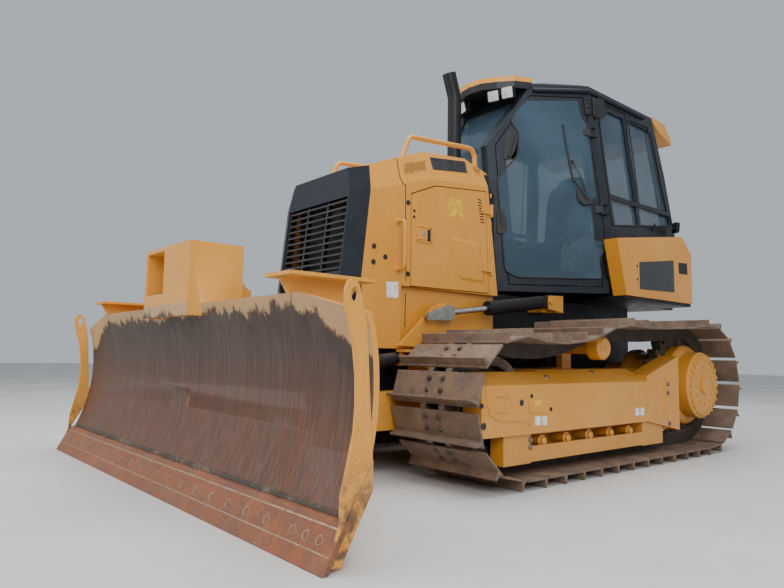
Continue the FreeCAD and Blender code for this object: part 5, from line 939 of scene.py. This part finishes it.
both_sides(plugs, "rubber_plugs", "chassis", rubber)
both_sides(seam, "hood_seam", "chassis", frame_black)
both_sides(vent_holes, "vent_holes", "chassis", frame_black)
both_sides(vent_frames, "vent_frames", "chassis", machine_yellow)
both_sides(louver, "louver_slots", "engine_door_{side}", frame_black)
badge = Work()
plate_by_pixels(badge, BADGE, HOOD, -0.001, 0.004, 0.002)
finish(badge, "blank_badge", "chassis", blank_plate)
label = Work()
plate_by_pixels(label, ((386.5, 281.7), (398.2, 281.9), (398.2, 297.9), (386.7, 297.6)), HOOD, -0.001, 0.0008, 0.0003)
finish(label, "blank_label_low", "chassis", pale_label)
print("hood dressed")

# %% [markdown]
# The engine door's pressed panel is only a few millimetres high but its slopes are wide, and
# that is what the light shows. The latch is a yellow paddle in a square recess.

# %% Engine door: panel, latch, hinge line and label
HOOD_SIDE = 0.444
SIDE_PLANE = Matrix(((0, 0, 1, HOOD_SIDE), (1, 0, 0, 0), (0, 1, 0, 0), (0, 0, 0, 1)))
PANEL = ((-0.450, 1.408), (-0.170, 1.402), (-0.118, 1.142), (-0.365, 1.150))
LATCH = (-0.668, 1.392)
LATCH_SIZE = (0.063, 0.050)
HINGE_LINE = (0.4445, -0.066)


def box_outline(x, y, half_x, half_y, corner=0.0):
    outline = [(x - half_x, y - half_y), (x + half_x, y - half_y), (x + half_x, y + half_y), (x - half_x, y + half_y)]
    return rounded([Vector(p) for p in outline], corner, 4, True) if corner else outline


def panel(work):
    outline = rounded([Vector(p) for p in PANEL], 0.035, 6, True)
    work.slab(SIDE_PLANE, outline, -0.001, 0.006, 0.016, 0.0055)


def latch_frame(work):
    y, z = LATCH
    outer = box_outline(y, z, *LATCH_SIZE, 0.008)
    inner = inset(outer, 0.009)
    rings = []
    for ring, level in ((outer, -0.001), (outer, 0.004), (inset(outer, 0.002), 0.005), (inset(inner, -0.002), 0.005), (inner, 0.001)):
        rings.append([SIDE_PLANE @ Vector((p.x, p.y, level)) for p in ring])
    work.rings(rings)


def latch_paddle(work):
    y, z = LATCH
    work.slab(SIDE_PLANE, box_outline(y - 0.014, z, 0.036, 0.036, 0.006), 0.0, 0.0045, 0.003)


def latch_cavity(work):
    y, z = LATCH
    work.slab(SIDE_PLANE, box_outline(y + 0.039, z - 0.002, 0.013, 0.036, 0.004), 0.0, 0.0022, 0.0005)
    for height in (1.487, 1.524):
        work.turned(SIDE_PLANE @ Matrix.Translation((-0.752, height, 0)), [(0.010, -0.001), (0.010, 0.002), (0.007, 0.004)], 6)


def latch_lock(work):
    y, z = LATCH
    work.turned(SIDE_PLANE @ Matrix.Translation((y - 0.004, z + 0.002, 0.004)),
                [(0.0125, 0), (0.0125, 0.002), (0.010, 0.0035), (0.006, 0.0035), (0.005, 0.002)], 20)


def hinge_line(work):
    x, y = HINGE_LINE
    for i in range(21):
        low = 1.090 + 0.0315 * i
        if not any(low - 0.065 < hinge < low + 0.095 for hinge in (1.245, 1.630)):
            work.turned(Matrix.Translation((x, y, low)), [(0.005, 0), (0.0062, 0.002), (0.0062, 0.026), (0.005, 0.028)], 10)


DOOR = "engine_door_{side}"
both_sides(panel, "door_panel", DOOR, machine_yellow, 8)
both_sides(latch_frame, "latch_frame", DOOR, machine_yellow)
both_sides(latch_paddle, "latch_paddle", DOOR, machine_yellow)
both_sides(latch_cavity, "latch_cavity", DOOR, rubber)
both_sides(latch_lock, "latch_lock", DOOR, zinc_plate)
both_sides(hinge_line, "hinge_line", DOOR, machine_yellow)
label = Work()
plate_by_pixels(label, ((448.4, 196.6), (461.8, 199.6), (462.4, 217.8), (448.9, 216.4)), ("engine_door_left",), -0.001, 0.0008, 0.0003)
finish(label, "blank_label_door", "engine_door_left", amber_label)


def grab_handle(work):
    path = [(0.443, -0.880, 1.158), (0.500, -0.880, 1.158), (0.506, -0.880, 1.190), (0.506, -0.880, 1.408),
            (0.500, -0.880, 1.440), (0.443, -0.880, 1.440)]
    work.tube(rounded(path, 0.03, 6), 0.011, 12)
    for height in (1.158, 1.440):
        matrix = SIDE_PLANE @ Matrix.Translation((-0.880, height, 0))
        work.turned(matrix, [(0.020, -0.001), (0.020, 0.003), (0.013, 0.006)], 18)


both_sides(grab_handle, "grab_handle", "chassis", machine_yellow)
print(piece_count, "pieces so far")

# %% [markdown]
# The door's glass is bonded to the outside of its frame, with a wavy outline that leaves room
# for the grab handle and the hinges. The cab's flank folds at two heights and is ruled between
# them, so a pixel's point on it is found by walking: guess a height, lay the plane of that
# height, meet it with the ray, and repeat.

# %% The cab's ruled flanks
FOLDS = (1.600, 2.200)
CAB_CROP = (440, 62, 5.6)
FRONT_POST = ((1.130, 0.270, 0.215), (1.600, 0.243, 0.185), (2.200, 0.194, 0.178), (2.700, 0.365, 0.488))
MIDDLE_POST = ((1.130, 0.750, 0.865), (1.600, 0.772, 0.865), (2.200, 0.689, 0.847), (2.700, 0.620, 0.833))
REAR_POST = ((1.130, 0.735, 1.905), (1.600, 0.752, 1.905), (2.200, 0.680, 1.865), (2.700, 0.620, 1.785))
DOOR_FLANK = (FRONT_POST, MIDDLE_POST)
REAR_FLANK = (MIDDLE_POST, REAR_POST)


def crop_pixel(x, y):
    """Turns a place in the enlarged crop back into a pixel of the photograph."""
    return CAB_CROP[0] + x / CAB_CROP[2], CAB_CROP[1] + y / CAB_CROP[2]


def post_at(post, height):
    """A post's point and its lean at a height."""
    for low, high in zip(post, post[1:]):
        if height <= high[0] or high is post[-1]:
            share = (height - low[0]) / (high[0] - low[0])
            first, second = Vector((*low[1:], low[0])), Vector((*high[1:], high[0]))
            return first.lerp(second, share), second - first


def plane_at(flank, height):
    (first, lean), (second, other) = (post_at(post, height) for post in flank)
    normal = (second - first).cross(lean + other).normalized()
    return first, normal if normal.x > 0 else -normal


def on_flank(x, y, flank, lift=0.0, height=1.7):
    """The point of a crop's place on the cab's flank."""
    way = sight(*crop_pixel(x, y))
    for step in range(12):
        first, normal = plane_at(flank, height)
        point = CAMERA_PLACE + way * ((first - CAMERA_PLACE).dot(normal) / way.dot(normal))
        height = min(max((height + point.z) / 2, 1.0), 2.7)
    return point + normal * lift


def leaf(work, points, flank, low, high):
    """Leaves of glass from one outline, parted at the folds."""
    for floor_height, top in zip((0.0,) + FOLDS, FOLDS + (9.0,)):
        kept = []
        for i, here in enumerate(points):
            before = points[i - 1]
            crossed = [fold for fold in (floor_height, top) if (before.z - fold) * (here.z - fold) < 0]
            for fold in sorted(crossed, reverse=before.z > here.z):
                kept.append(before.lerp(here, (fold - before.z) / (here.z - before.z)))
            if floor_height <= here.z <= top:
                kept.append(here)
        if len(kept) > 2:
            middle = sum(kept, Vector()) / len(kept)
            normal = plane_at(flank, middle.z)[1]
            work.rings([[point + normal * level for point in kept] for level in (low, high)])


DOOR_GLASS = ((395, 330), (405, 290), (480, 212), (775, 212), (790, 310), (825, 345), (862, 640), (920, 1060), (893, 1100),
              (908, 1215), (430, 1205), (362, 1170), (345, 980), (318, 650), (432, 525), (440, 400))


def door_outline(lift=0.0):
    return rounded([on_flank(x, y, DOOR_FLANK, lift) for x, y in DOOR_GLASS], 0.03, 4, True)


def door_glass(work):
    leaf(work, door_outline(), DOOR_FLANK, 0.002, 0.006)


def door_seal(work):
    work.tube(door_outline(0.005), 0.0055, 6, True)


for side, matrix in SIDES:
    for make, name, material, slot in ((door_glass, "door_glass", tinted_glass, "tinted_glass"),
                                       (door_seal, "door_seal", rubber, "frame_black")):
        work = Work()
        make(work)
        work.mirrored(matrix)
        made = finish(work, f"{name}_{side}", body_of[f"cab_door_{side}"], material, 30)
        if make is door_glass:
            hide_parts(f"cab_door_glass_{side}")
print("door glass outline of", len(DOOR_GLASS), "corners")

# %% [markdown]
# Handles, latch, hinge blocks and wipers of the door are black. They are flat castings and
# round arms, so slabs and tubes on the same two planes give them.

# %% Door furniture, wipers and window bars
GRIP = ((372, 400), (405, 372), (436, 385), (440, 420), (420, 500), (388, 552), (356, 548), (358, 500))
LATCH_PLATE = ((322, 820), (352, 822), (375, 900), (362, 965), (318, 962), (312, 880))
HINGE_TOP = ((848, 204), (905, 207), (930, 300), (868, 322), (852, 300))
HINGE_LEAF = ((800, 200), (843, 203), (846, 300), (812, 300))
HINGE_FOOT = ((925, 1085), (1010, 1070), (1045, 1130), (1040, 1212), (935, 1210))


def flank_slab(work, corners, flank, low, high, chamfer=0.002):
    points = [on_flank(x, y, flank) for x, y in corners]
    middle = sum(points, Vector()) / len(points)
    matrix = facing(middle, plane_at(flank, middle.z)[1])
    back = matrix.inverted()
    work.slab(matrix, rounded([(back @ p).to_2d() for p in points], 0.012, 4, True), low, high, chamfer)


def flank_path(corners, flank, lift):
    return [on_flank(x, y, flank, lift) for x, y in corners]


def door_furniture(work):
    flank_slab(work, GRIP, DOOR_FLANK, 0.0, 0.006, 0.003)
    work.tube(rounded(flank_path(((416, 392), (414, 398), (384, 520), (380, 534)), DOOR_FLANK, 0.020), 0.01), 0.009, 8)
    for x, y in ((415, 396), (382, 524)):
        work.tube([on_flank(x, y, DOOR_FLANK, 0.0), on_flank(x, y, DOOR_FLANK, 0.020)], 0.008, 8)
    flank_slab(work, LATCH_PLATE, DOOR_FLANK, 0.0, 0.007, 0.003)
    flank_slab(work, ((338, 852), (352, 852), (358, 890), (350, 928), (338, 925)), DOOR_FLANK, 0.006, 0.011, 0.002)


def door_wiper(work):
    flank_slab(work, ((762, 715), (790, 690), (815, 760), (848, 765), (850, 800), (800, 806), (768, 770)), DOOR_FLANK, 0.004, 0.016, 0.004)
    work.tube(flank_path(((818, 772), (748, 668)), DOOR_FLANK, 0.020), 0.0045, 8)
    work.tube(flank_path(((826, 764), (780, 640), (735, 560)), DOOR_FLANK, 0.020), 0.003, 8)
    work.tube(flank_path(((686, 356), (700, 450), (720, 560), (744, 668)), DOOR_FLANK, 0.013), 0.007, 6)
    for x, y in ((745, 668), (735, 560), (822, 768)):
        work.turned(facing(on_flank(x, y, DOOR_FLANK, 0.012), plane_at(DOOR_FLANK, 1.9)[1]), [(0.010, 0), (0.010, 0.010), (0.007, 0.014)], 12)


def hinge_blocks(work):
    flank_slab(work, HINGE_LEAF, DOOR_FLANK, 0.0, 0.014, 0.004)
    for x, y in ((820, 232), (824, 258), (828, 284)):
        work.bolt(facing(on_flank(x, y, DOOR_FLANK, 0.013), plane_at(DOOR_FLANK, 1.9)[1]), 0.008)


def hinge_top(work):
    flank_slab(work, HINGE_TOP, REAR_FLANK, 0.0, 0.016, 0.004)


def hinge_foot(work):
    flank_slab(work, HINGE_FOOT, REAR_FLANK, 0.0, 0.014, 0.004)
    normal = plane_at(REAR_FLANK, 1.4)[1]
    for x, y in ((955, 1110), (1020, 1150), (950, 1190)):
        work.bolt(facing(on_flank(x, y, REAR_FLANK, 0.013), normal), 0.009)
    work.turned(facing(on_flank(990, 1168, REAR_FLANK, 0.013), normal), [(0.016, 0), (0.016, 0.008), (0.011, 0.012), (0.011, 0.016)], 18)


WINDOW_SEALS = (((892, 332), (908, 232), (1036, 290), (1050, 420), (1106, 796), (946, 742)),
                ((1052, 322), (1162, 368), (1250, 838), (1112, 796)),
                ((948, 764), (1284, 866), (1300, 922), (968, 916)))


def window_seals(work):
    for corners in WINDOW_SEALS:
        work.tube(rounded(flank_path(corners, REAR_FLANK, 0.003), 0.02, 4, True), 0.0055, 6, True)


def window_bars(work):
    flank_slab(work, ((942, 742), (1112, 796), (1284, 848), (1286, 866), (1112, 812), (945, 762)), REAR_FLANK, -0.012, 0.006)


CAB_DOOR = {side: body_of[f"cab_door_{side}"] for side in LEFT_RIGHT}
both_sides(door_furniture, "door_furniture", "cab_door_{side}", rubber)
both_sides(door_wiper, "door_wiper", "cab_door_{side}", rubber)
both_sides(hinge_blocks, "door_hinge_leaf", "cab_door_{side}", frame_black)
both_sides(hinge_top, "door_hinge_top", "chassis", frame_black)
both_sides(hinge_foot, "door_hinge_foot", "chassis", frame_black)
both_sides(window_seals, "window_seals", "chassis", rubber)
both_sides(window_bars, "window_bars", "chassis", charcoal_satin)


# %% Roof tube, lamps, stalk lamp, sill ribs
def roof_tube(work):
    pixels = [crop_pixel(x, y) for x, y in ((518, 160), (640, 162), (826, 168), (905, 205), (1060, 280), (1170, 332))]
    path = traced(pixels, ("cab_roof", "cab_frame", "roof_rear_cap", "roof_brow"), 3, 0.008)
    work.tube(path[::2] if len(path) > 12 else path, 0.017, 12)


def sill_ribs(work):
    for i in range(24):
        share = i / 23
        place, normal = seen(*crop_pixel(540 + 310 * share, 1247 + 14 * share), "cab_frame", "cab_door_left", "main_frame")
        matrix = facing(place, normal)
        work.slab(matrix, [(-0.004, -0.012), (0.004, -0.012), (0.004, 0.012), (-0.004, 0.012)], -0.001, 0.005, 0.002)


LAMPS = ((300, 192), (378, 172))
LAMP_WAY = Vector((0.30, -0.92, -0.25)).normalized()


def lamp_place(x, y):
    place, normal = seen(*crop_pixel(x, y), "roof_lamps", "roof_brow", "cab_roof")
    return facing(place + LAMP_WAY * 0.004, LAMP_WAY)


def lamp_shells(work):
    for x, y in LAMPS:
        work.slab(lamp_place(x, y), rounded([Vector(p) for p in box_outline(0, 0, 0.049, 0.046)], 0.012, 4, True), -0.045, 0.006, 0.004)


def lamp_glasses(work):
    for x, y in LAMPS:
        matrix = lamp_place(x, y)
        work.slab(matrix, rounded([Vector(p) for p in box_outline(0, 0, 0.041, 0.038)], 0.008, 4, True), 0.0, 0.009, 0.003)


def stalk_lamp(work):
    base = at_plane(*crop_pixel(1205, 925), x=0.770)
    knee = at_plane(*crop_pixel(1262, 938), x=0.790)
    end = at_plane(*crop_pixel(1325, 930), x=0.800)
    work.tube(rounded([base, knee, end], 0.02), 0.008, 8)
    work.slab(facing(end, (0.5, 0.85, -0.1)), rounded([Vector(p) for p in box_outline(0, 0, 0.030, 0.042)], 0.01, 4, True), -0.022, 0.012, 0.005)
    work.tube([base + Vector((-0.02, 0, -0.03)), base + Vector((0, 0, 0.03))], 0.007, 8)


both_sides(roof_tube, "roof_tube", "chassis", charcoal_satin)
both_sides(sill_ribs, "sill_ribs", "chassis", rubber)
both_sides(lamp_shells, "lamp_shells", "chassis", frame_black)
both_sides(lamp_glasses, "lamp_glasses", "chassis", lamp_lens)
both_sides(stalk_lamp, "stalk_lamp", "chassis", frame_black)

# %% Rear box plate, recess and rivets
plate = Work()
plate_by_pixels(plate, [crop_pixel(x, y) for x, y in ((1116, 1120), (1306, 1112), (1312, 1290), (1120, 1272))], ("rear_box_left",),
                -0.001, 0.004, 0.002)
finish(plate, "blank_plate_rear_box", "chassis", blank_plate)


def box_recess(work):
    plate_by_pixels(work, [crop_pixel(x, y) for x, y in ((1334, 1124), (1382, 1128), (1386, 1192), (1338, 1186))],
                    ("rear_box_left",), -0.001, 0.0012, 0.0004)
    for x, y in ((1104, 1142), (1105, 1218), (1250, 1338), (1300, 1352), (1380, 1366)):
        work.turned(facing(*seen(*crop_pixel(x, y), "rear_box_left", "main_frame", "fuel_tank", "cab_frame")),
                    [(0.009, -0.001), (0.009, 0.002), (0.006, 0.003)], 12)


both_sides(box_recess, "rear_box_recess", "chassis", rubber)

# %% [markdown]
# The seat is cloth over foam. A crowned form whose sides pull in is a superellipsoid: one
# formula with two powers that go from ball to box. Consoles are moulded plastic with levers.

# %% Seat and consoles
def pillow(work, middle, half, boxy=0.45, tilt=0.0, crown=0.0, rows=18, columns=36):
    """A crowned closed form; `boxy` goes from 1, a ball, towards 0, a box."""
    def power(value):
        return math.copysign(abs(value) ** boxy, value)
    turn = Matrix.Rotation(tilt, 3, "X")
    rings = []
    for row in range(1, rows):
        a = -math.pi / 2 + math.pi * row / rows
        ring = []
        for column in range(columns):
            b = 2 * math.pi * column / columns
            point = Vector((half[0] * power(math.cos(a)) * power(math.cos(b)), half[1] * power(math.cos(a)) * power(math.sin(b)),
                            half[2] * power(math.sin(a))))
            point.z += crown * (1 - (point.x / half[0]) ** 2) * (1 if point.z > 0 else 0)
            ring.append(Vector(middle) + turn @ point)
        rings.append(ring)
    work.rings(rings)


SEAT_TILT = math.radians(-8)
seat_parts = {
    "seat_cushion": ((0, 1.215, 1.540), (0.235, 0.235, 0.062), 0.42, 0.0, 0.012),
    "seat_back": ((0, 1.480, 1.890), (0.215, 0.066, 0.310), 0.45, SEAT_TILT, 0.0),
    "seat_headrest": ((0, 1.525, 2.185), (0.125, 0.045, 0.065), 0.55, SEAT_TILT, 0.0),
}
for name, (middle, half, boxy, tilt, crown) in seat_parts.items():
    work = Work()
    pillow(work, middle, half, boxy, tilt, crown)
    cushion = finish(work, name, "chassis", seat_cloth, 60)
    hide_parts("operator_seat")
seams = Work()
for x in (-0.120, 0.120):
    seams.tube([(x, 1.02 + 0.0325 * i, 1.606 + 0.006 * math.sin(math.pi * i / 12)) for i in range(13)], 0.004, 6)
finish(seams, "seat_piping", "chassis", seat_cloth)
base = Work()
for i in range(6):
    low = 1.190 + 0.048 * i
    reach = 0.165 + 0.012 * (i % 2)
    base.slab(Matrix.Translation((0, 1.23, low)), rounded([Vector(p) for p in box_outline(0, 0, reach, reach)], 0.03, 4, True), 0, 0.049, 0.006)
finish(base, "seat_bellows", "chassis", rubber)
for side, matrix in SIDES:
    work = Work()
    pillow(work, (0.330, 1.200, 1.660), (0.050, 0.230, 0.026), 0.40)
    work.mirrored(matrix)
    finish(work, f"armrest_{side}", "chassis", cabin_plastic, 50)


def console(work):
    outline = rounded([Vector(p) for p in ((0.960, 1.180), (1.440, 1.180), (1.440, 1.630), (1.100, 1.630), (0.960, 1.520))], 0.03, 5, True)
    matrix = SIDE_PLANE.copy()
    matrix.translation = (0.278, 0, 0)
    work.slab(matrix, outline, 0.0, 0.102, 0.012)


def lever(work):
    work.tube(rounded([(0.328, 1.000, 1.540), (0.328, 0.985, 1.620), (0.320, 0.965, 1.680)], 0.02), 0.009, 10)
    pillow(work, (0.319, 0.960, 1.715), (0.024, 0.028, 0.045), 0.7, 0.2, 0.0, 12, 20)


both_sides(console, "console", "chassis", cabin_grey, 40)
both_sides(lever, "control_lever", "chassis", rubber, 50)
for side in LEFT_RIGHT:
    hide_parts("control_consoles")
dash = Work()
outline = rounded([Vector(p) for p in ((0.335, 1.180), (0.445, 1.180), (0.445, 1.690), (0.345, 1.755))], 0.02, 5, True)
matrix = SIDE_PLANE.copy()
matrix.translation = (-0.128, 0, 0)
dash.slab(matrix, outline, 0.0, 0.256, 0.014)
finish(dash, "dash", "chassis", cabin_grey, 40)
screen = Work()
screen.slab(facing((0, 0.449, 1.610), (0, 1, 0.15)), rounded([Vector(p) for p in box_outline(0, 0, 0.095, 0.06)], 0.01, 4, True), -0.004, 0.006, 0.003)
finish(screen, "dash_screen", "chassis", blank_plate)
print(piece_count, "pieces so far")

# %% [markdown]
# Each shoe is held to the chain by four bolts. The shoes' flat faces are found in the frame's
# own mesh: they are the only large faces that look away from the middle of the loop.

# %% Shoe bolts
LOOP_MIDDLE = Vector((0.0, 0.46, 0.46))
LARGE_FACE = 0.020
BOLT_ACROSS, BOLT_ALONG = 0.048, 0.030


def shoe_faces(name):
    """The middle and normal of each shoe's outer flat."""
    found = {}
    mesh = nodes[name].data
    for face in mesh.polygons:
        outward = Vector(face.center) - LOOP_MIDDLE
        outward.x = 0
        if face.area > LARGE_FACE and abs(face.normal.x) < 0.1 and face.normal.dot(outward.normalized()) > 0.3:
            key = (round(face.normal.y, 2), round(face.normal.z, 2), round(face.normal.dot(face.center), 3))
            found.setdefault(key, []).append(face)
    return [(sum((Vector(f.center) * f.area for f in faces), Vector()) / sum(f.area for f in faces), Vector(faces[0].normal))
            for faces in found.values()]


for side in LEFT_RIGHT:
    faces = shoe_faces(f"track_{side}")
    work = Work()
    for middle, normal in faces:
        along = Vector((1, 0, 0)).cross(normal).normalized()
        for across in (-1, 1):
            for ahead in (-1, 1):
                place = middle + Vector((across * BOLT_ACROSS, 0, 0)) + along * ahead * BOLT_ALONG
                work.bolt(facing(place, normal, random.Random(len(faces)).random()), 0.0125, 0.011)
    finish(work, f"shoe_bolts_{side}", "chassis", wheel_steel)
    print(side, len(faces), "shoes")

# %% [markdown]
# The track frame's side carries a pressed cover, a hatch, plugs, blank labels and bolts, and
# the rollers' shafts end in large nuts above the guard strip.

# %% Track frame details
TRACK_CROP = (380, 283, 4.2)
SIDE_STEEL = ("track_frame_left",)


def track_pixel(x, y):
    return TRACK_CROP[0] + x / TRACK_CROP[2], TRACK_CROP[1] + y / TRACK_CROP[2]


def frame_relief(work):
    for corners in (((446, 432), (446, 500), (462, 555), (500, 580), (618, 582), (634, 604)),
                    ((626, 480), (626, 535), (634, 546), (700, 546)),
                    ((1118, 392), (1120, 552)), ((1200, 400), (1198, 560))):
        path = traced([track_pixel(x, y) for x, y in corners], SIDE_STEEL, 4, 0.0)
        work.tube(path, 0.0045, 6)
    hatch = traced([track_pixel(x, y) for x, y in ((490, 480), (540, 480), (556, 500), (556, 530), (540, 545), (490, 543))], SIDE_STEEL, 2, 0.0)
    work.tube(rounded(hatch, 0.012), 0.004, 6)


def frame_bolts(work):
    for x, y in ((631, 658), (631, 688), (505, 370), (700, 395), (890, 375), (1208, 425), (1208, 462), (1215, 590)):
        work.bolt(facing(*seen(*track_pixel(x, y), "track_frame_left", "carrier_roller_left")), 0.013)


def frame_plugs(work):
    for x, y, radius in ((637, 475, 0.012), (718, 530, 0.012), (595, 503, 0.017), (435, 603, 0.018), (428, 517, 0.013)):
        work.turned(facing(*seen(*track_pixel(x, y), "track_frame_left")), [(radius, -0.001), (radius, 0.0015), (radius * 0.6, 0.002)], 16)


def roller_nuts(work):
    for i in range(7):
        matrix = Matrix.Translation((1.041, -0.335 + 0.2265 * i, 0.2173)) @ SIDE_PLANE.to_3x3().to_4x4()
        work.turned(matrix, [(0.034, 0), (0.034, 0.006), (0.030, 0.008)], 20)
        work.turned(matrix, [(0.022, 0.007), (0.022, 0.022), (0.018, 0.026)], 6)


def drive_bolts(work):
    place, normal = hit(["final_drive_left"], (1.6, 1.555, 0.485), (-1, 0, 0))
    for i in range(12):
        angle = 2 * math.pi * i / 12
        spot, normal = hit(["final_drive_left"], (1.6, 1.555 + 0.135 * math.cos(angle), 0.485 + 0.135 * math.sin(angle)), (-1, 0, 0))
        work.bolt(facing(spot, normal), 0.009)
    spot, normal = hit(["carrier_roller_left"], (1.6, 0.310, 0.733), (-1, 0, 0))
    work.turned(facing(spot, normal), [(0.058, -0.001), (0.058, 0.001), (0.054, 0.002), (0.050, 0.0005)], 30)
    work.turned(facing(spot, normal), [(0.010, -0.001), (0.010, 0.004), (0.007, 0.006)], 6)


both_sides(frame_relief, "frame_relief", "chassis", machine_yellow)
both_sides(frame_bolts, "frame_bolts", "chassis", bare_bolt)
both_sides(frame_plugs, "frame_plugs", "chassis", rubber)
both_sides(roller_nuts, "roller_nuts", "chassis", machine_yellow)
both_sides(drive_bolts, "drive_bolts", "chassis", machine_yellow)
labels, amber = Work(), Work()
for left, top, right, foot in ((651, 560, 673, 598), (679, 559, 701, 597), (1073, 524, 1089, 556), (1094, 523, 1110, 555)):
    plate_by_pixels(labels, [track_pixel(x, y) for x, y in ((left, top), (right, top), (right, foot), (left, foot))], SIDE_STEEL, -0.001, 0.0008, 0.0003)
plate_by_pixels(amber, [track_pixel(x, y) for x, y in ((650, 491), (680, 490), (680, 514), (650, 515))], SIDE_STEEL, -0.001, 0.0008, 0.0003)
finish(labels, "blank_labels_frame", "chassis", pale_label)
finish(amber, "blank_label_amber", "chassis", amber_label)

# %% Cylinder collars, tank cap and tank bolts
def collars(work):
    eye, base = Vector((0.498, -0.535, 0.925)), Vector((0.498, 0.475, 1.060))
    way = (eye - base).normalized()
    matrix = Matrix((Vector((1, 0, 0)), way.cross(Vector((1, 0, 0))), way)).transposed().to_4x4()
    for start, length in ((0.560, 0.014), (0.606, 0.030)):
        matrix.translation = base + way * start
        work.turned(matrix, [(0.0455, 0), (0.0472, 0.002), (0.0472, length - 0.002), (0.0455, length)], 28)


def pin_heads(work):
    for x, y in ((46, 1412), (578, 1330)):
        place, normal = seen(*crop_pixel(x, y), "lift_flags", "lift_rod_left", "lift_barrel_left", "lift_brackets")
        work.turned(facing(place, normal), [(0.020, -0.001), (0.020, 0.004), (0.016, 0.006)], 20)


both_sides(collars, "cylinder_collars", "lift_barrel_{side}", frame_black)
tank = Work()
tank.turned(Matrix.Translation((0.35, 2.02, 1.640)), [(0.052, -0.001), (0.052, 0.012), (0.060, 0.014), (0.060, 0.034), (0.050, 0.042)], 24)
finish(tank, "filler_cap", "chassis", rubber)
tank = Work()
for x in (-0.56, -0.28, 0.0, 0.28, 0.56):
    for z in (1.16, 1.59):
        place, normal = hit(["fuel_tank"], (x, 3.0, z), (0, -1, 0))
        tank.bolt(facing(place, normal), 0.012)
finish(tank, "tank_bolts", "chassis", bare_bolt)
print(piece_count, "pieces in all")

# %% Floor
floor_mesh = bpy.data.meshes.new("studio_floor")
corners = [(-FLOOR_HALF, -FLOOR_HALF), (FLOOR_HALF, -FLOOR_HALF), (FLOOR_HALF, FLOOR_HALF), (-FLOOR_HALF, FLOOR_HALF)]
floor_mesh.from_pydata([(u, v, cad_box[0].z) for u, v in corners], [], [(0, 1, 2, 3)])
floor = bpy.data.objects.new("studio_floor", floor_mesh)
bpy.context.scene.collection.objects.link(floor)
floor_material, graph, shader, place, unused = surface("pale_floor", 0.001, 0.0, 30.0, 0.0004)
worn = graph.range(graph.noise(place, 0.8, 6.0), 0.3, 0.7)
feed(graph, shader, Base_Color=graph.mix(worn, (0.62, 0.61, 0.59), (0.55, 0.54, 0.52)), Roughness=graph.range(worn, 0.0, 1.0, 0.7, 0.85))
paint(floor, floor_material)
